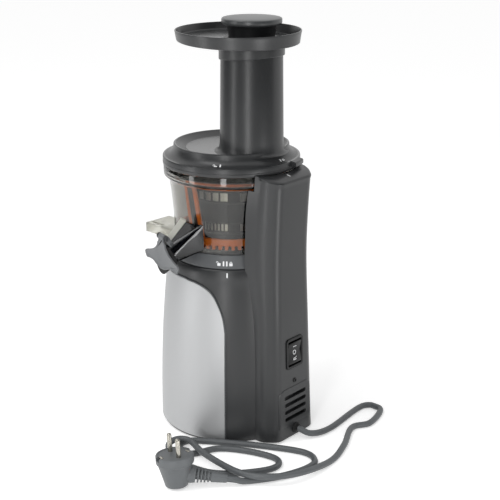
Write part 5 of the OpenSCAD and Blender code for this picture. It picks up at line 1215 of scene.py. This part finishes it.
# %% Strainer arches and beads
ARCH_LOW, ARCH_RISE, ARCH_HALF, PROUD = 235.5, 15.0, 19, 0.35
arches = []
for middle in middles:
    rings = []
    for across in [k / 12 - 1 for k in range(25)]:
        top = ARCH_LOW + ARCH_RISE * math.sqrt(max(0.0, 1 - across ** 2 * 0.98))
        section = [(-0.3, ARCH_LOW), (PROUD, ARCH_LOW), (PROUD, top), (-0.3, top)]
        rings.append([on_bearing(middle + across * ARCH_HALF, CAGE_R + out, z) for out, z in section])
    arches.append(skin(rings))
make_piece("strainer_arches", moved(joined(*arches), BOWL_TURN), "bowl", black_abs, sharp=32)
for index, z in enumerate((222.6, 234.2, 254.6)):
    section = [(-0.2, -0.5), (PROUD, -0.4), (PROUD, 0.4), (-0.2, 0.5)]
    bead = lathe([(CAGE_R + out, z + up) for out, up in section], steps=96)
    make_piece("strainer_bead_" + str(index + 1), moved(bead, BOWL_TURN), "bowl", graphite_light, sharp=32)

# %% [markdown]
# Lock marks are printed in white. A closed and an open padlock and plain
# bars are the usual signs on such machines. Each is a thin solid that is
# laid on its surface by a frame, whose Y points out of the surface.

# %% Lock marks
MARK_T = 0.16


def surface_frame(bearing, radius, height, tilt):
    """A frame on a round surface: Y points outwards and leans up by the tilt."""
    return shifted(*on_bearing(bearing, radius, height)) @ turned(bearing + 180, "Z") @ turned(tilt, "X")


def bar_mark(height=5.2, width=1.5):
    """A plain upright bar with round ends."""
    return skin([rounded_rectangle(width, height, width * 0.45, depth) for depth in (-0.2, MARK_T)])


def padlock_mark(is_open):
    """A padlock: a rounded body and a shackle that is shut or swung to one side."""
    body = moved(skin([rounded_rectangle(3.4, 2.9, 0.6, depth) for depth in (-0.1, MARK_T)]), shifted(0, 0, -0.9))
    aside = 1.7 if is_open else 0.0
    section = [(0.75, -0.1), (0.75, MARK_T), (1.3, MARK_T), (1.3, -0.1)]
    rings = [[(aside + r * math.cos(a), depth, 0.7 + 1.15 * r * math.sin(a)) for r, depth in section]
             for a in (math.pi * k / 12 for k in range(13))]
    return joined(body, skin(rings))


def mark_row(name, body, bearings, place):
    """An open padlock, two bars and a closed padlock at four bearings."""
    shapes = (padlock_mark(True), bar_mark(), bar_mark(), padlock_mark(False))
    marks = [moved(shape, surface_frame(bearing, *place)) for bearing, shape in zip(bearings, shapes)]
    make_piece(name, joined(*marks), body, white_print)


mark_row("lid_lock_marks", "lid", (118.2, 122.4, 181.5, 185.5), (65.6, 298.35, 51))
mark_row("skirt_lock_marks", "bowl", (120.1, 124.4, 127.4, 131.2), (63.48, 196.4, 7))
pointer = moved(bar_mark(5.0, 1.4), surface_frame(127.9, 67.72, 185.2, 12))
make_piece("housing_pointer_mark", pointer, "base", white_print)
column_bar = moved(bar_mark(4.6, 1.2), shifted(1.5, 78.4, column_top(78.4) + 0.03) @ turned(90 - 14.2, "X"))
make_piece("column_pointer_mark", column_bar, "base", white_print)

# %% [markdown]
# The pieces inside the housing keep the CAD's shapes and get real finishes:
# laminated iron and copper in the motor, turned steel shafts and bearings,
# a die-cast gearbox, white seals and a green circuit board.

# %% Finishes for the nodes that stay
CAD_FINISHES = [
    (graphite_abs, "motor_housing rear_column lid feed_tube hopper_tray"), (cap_abs, "juice_cap pusher_cap"),
    (black_abs, "bottom_plate cooling_fan lid_sensor"), (black_rubber, "rubber_feet shaft_seal bowl_seal cap_seal"),
    (steel, "housing_screws motor_bearings motor_shaft ring_gear planet_carrier planet_gear_1 planet_gear_2"),
    (steel, "planet_gear_3 output_bearing cap_pin"), (zinc, "motor_bracket gearbox_case"),
    (iron, "stator_core rotor_core"), (copper, "stator_windings"), (green_board, "control_board"),
    (smoky_clear, "juice_bowl"), (graphite_light, "bowl_ring"), (frosted_clear, "pulp_chute"),
    (smoky_dark, "juice_spout"), (strainer_abs, "strainer_frame auger"), (mesh_steel, "strainer_mesh"),
    (white_pom, "brush_pinion auger_bush"), (orange_pp, "brush_frame"), (grey_silicone, "wiper_blades lid_seal"),
    (nickel, "lid_magnet"), (pusher_abs, "pusher_body"),
]
dressed = 0
for finish, names in CAD_FINISHES:
    for name in names.split():
        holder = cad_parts[name]
        if not holder.material_slots:
            holder.data.materials.append(finish)
        for slot in holder.material_slots:
            slot.material = finish
        dressed += 1
print("CAD nodes dressed", dressed)
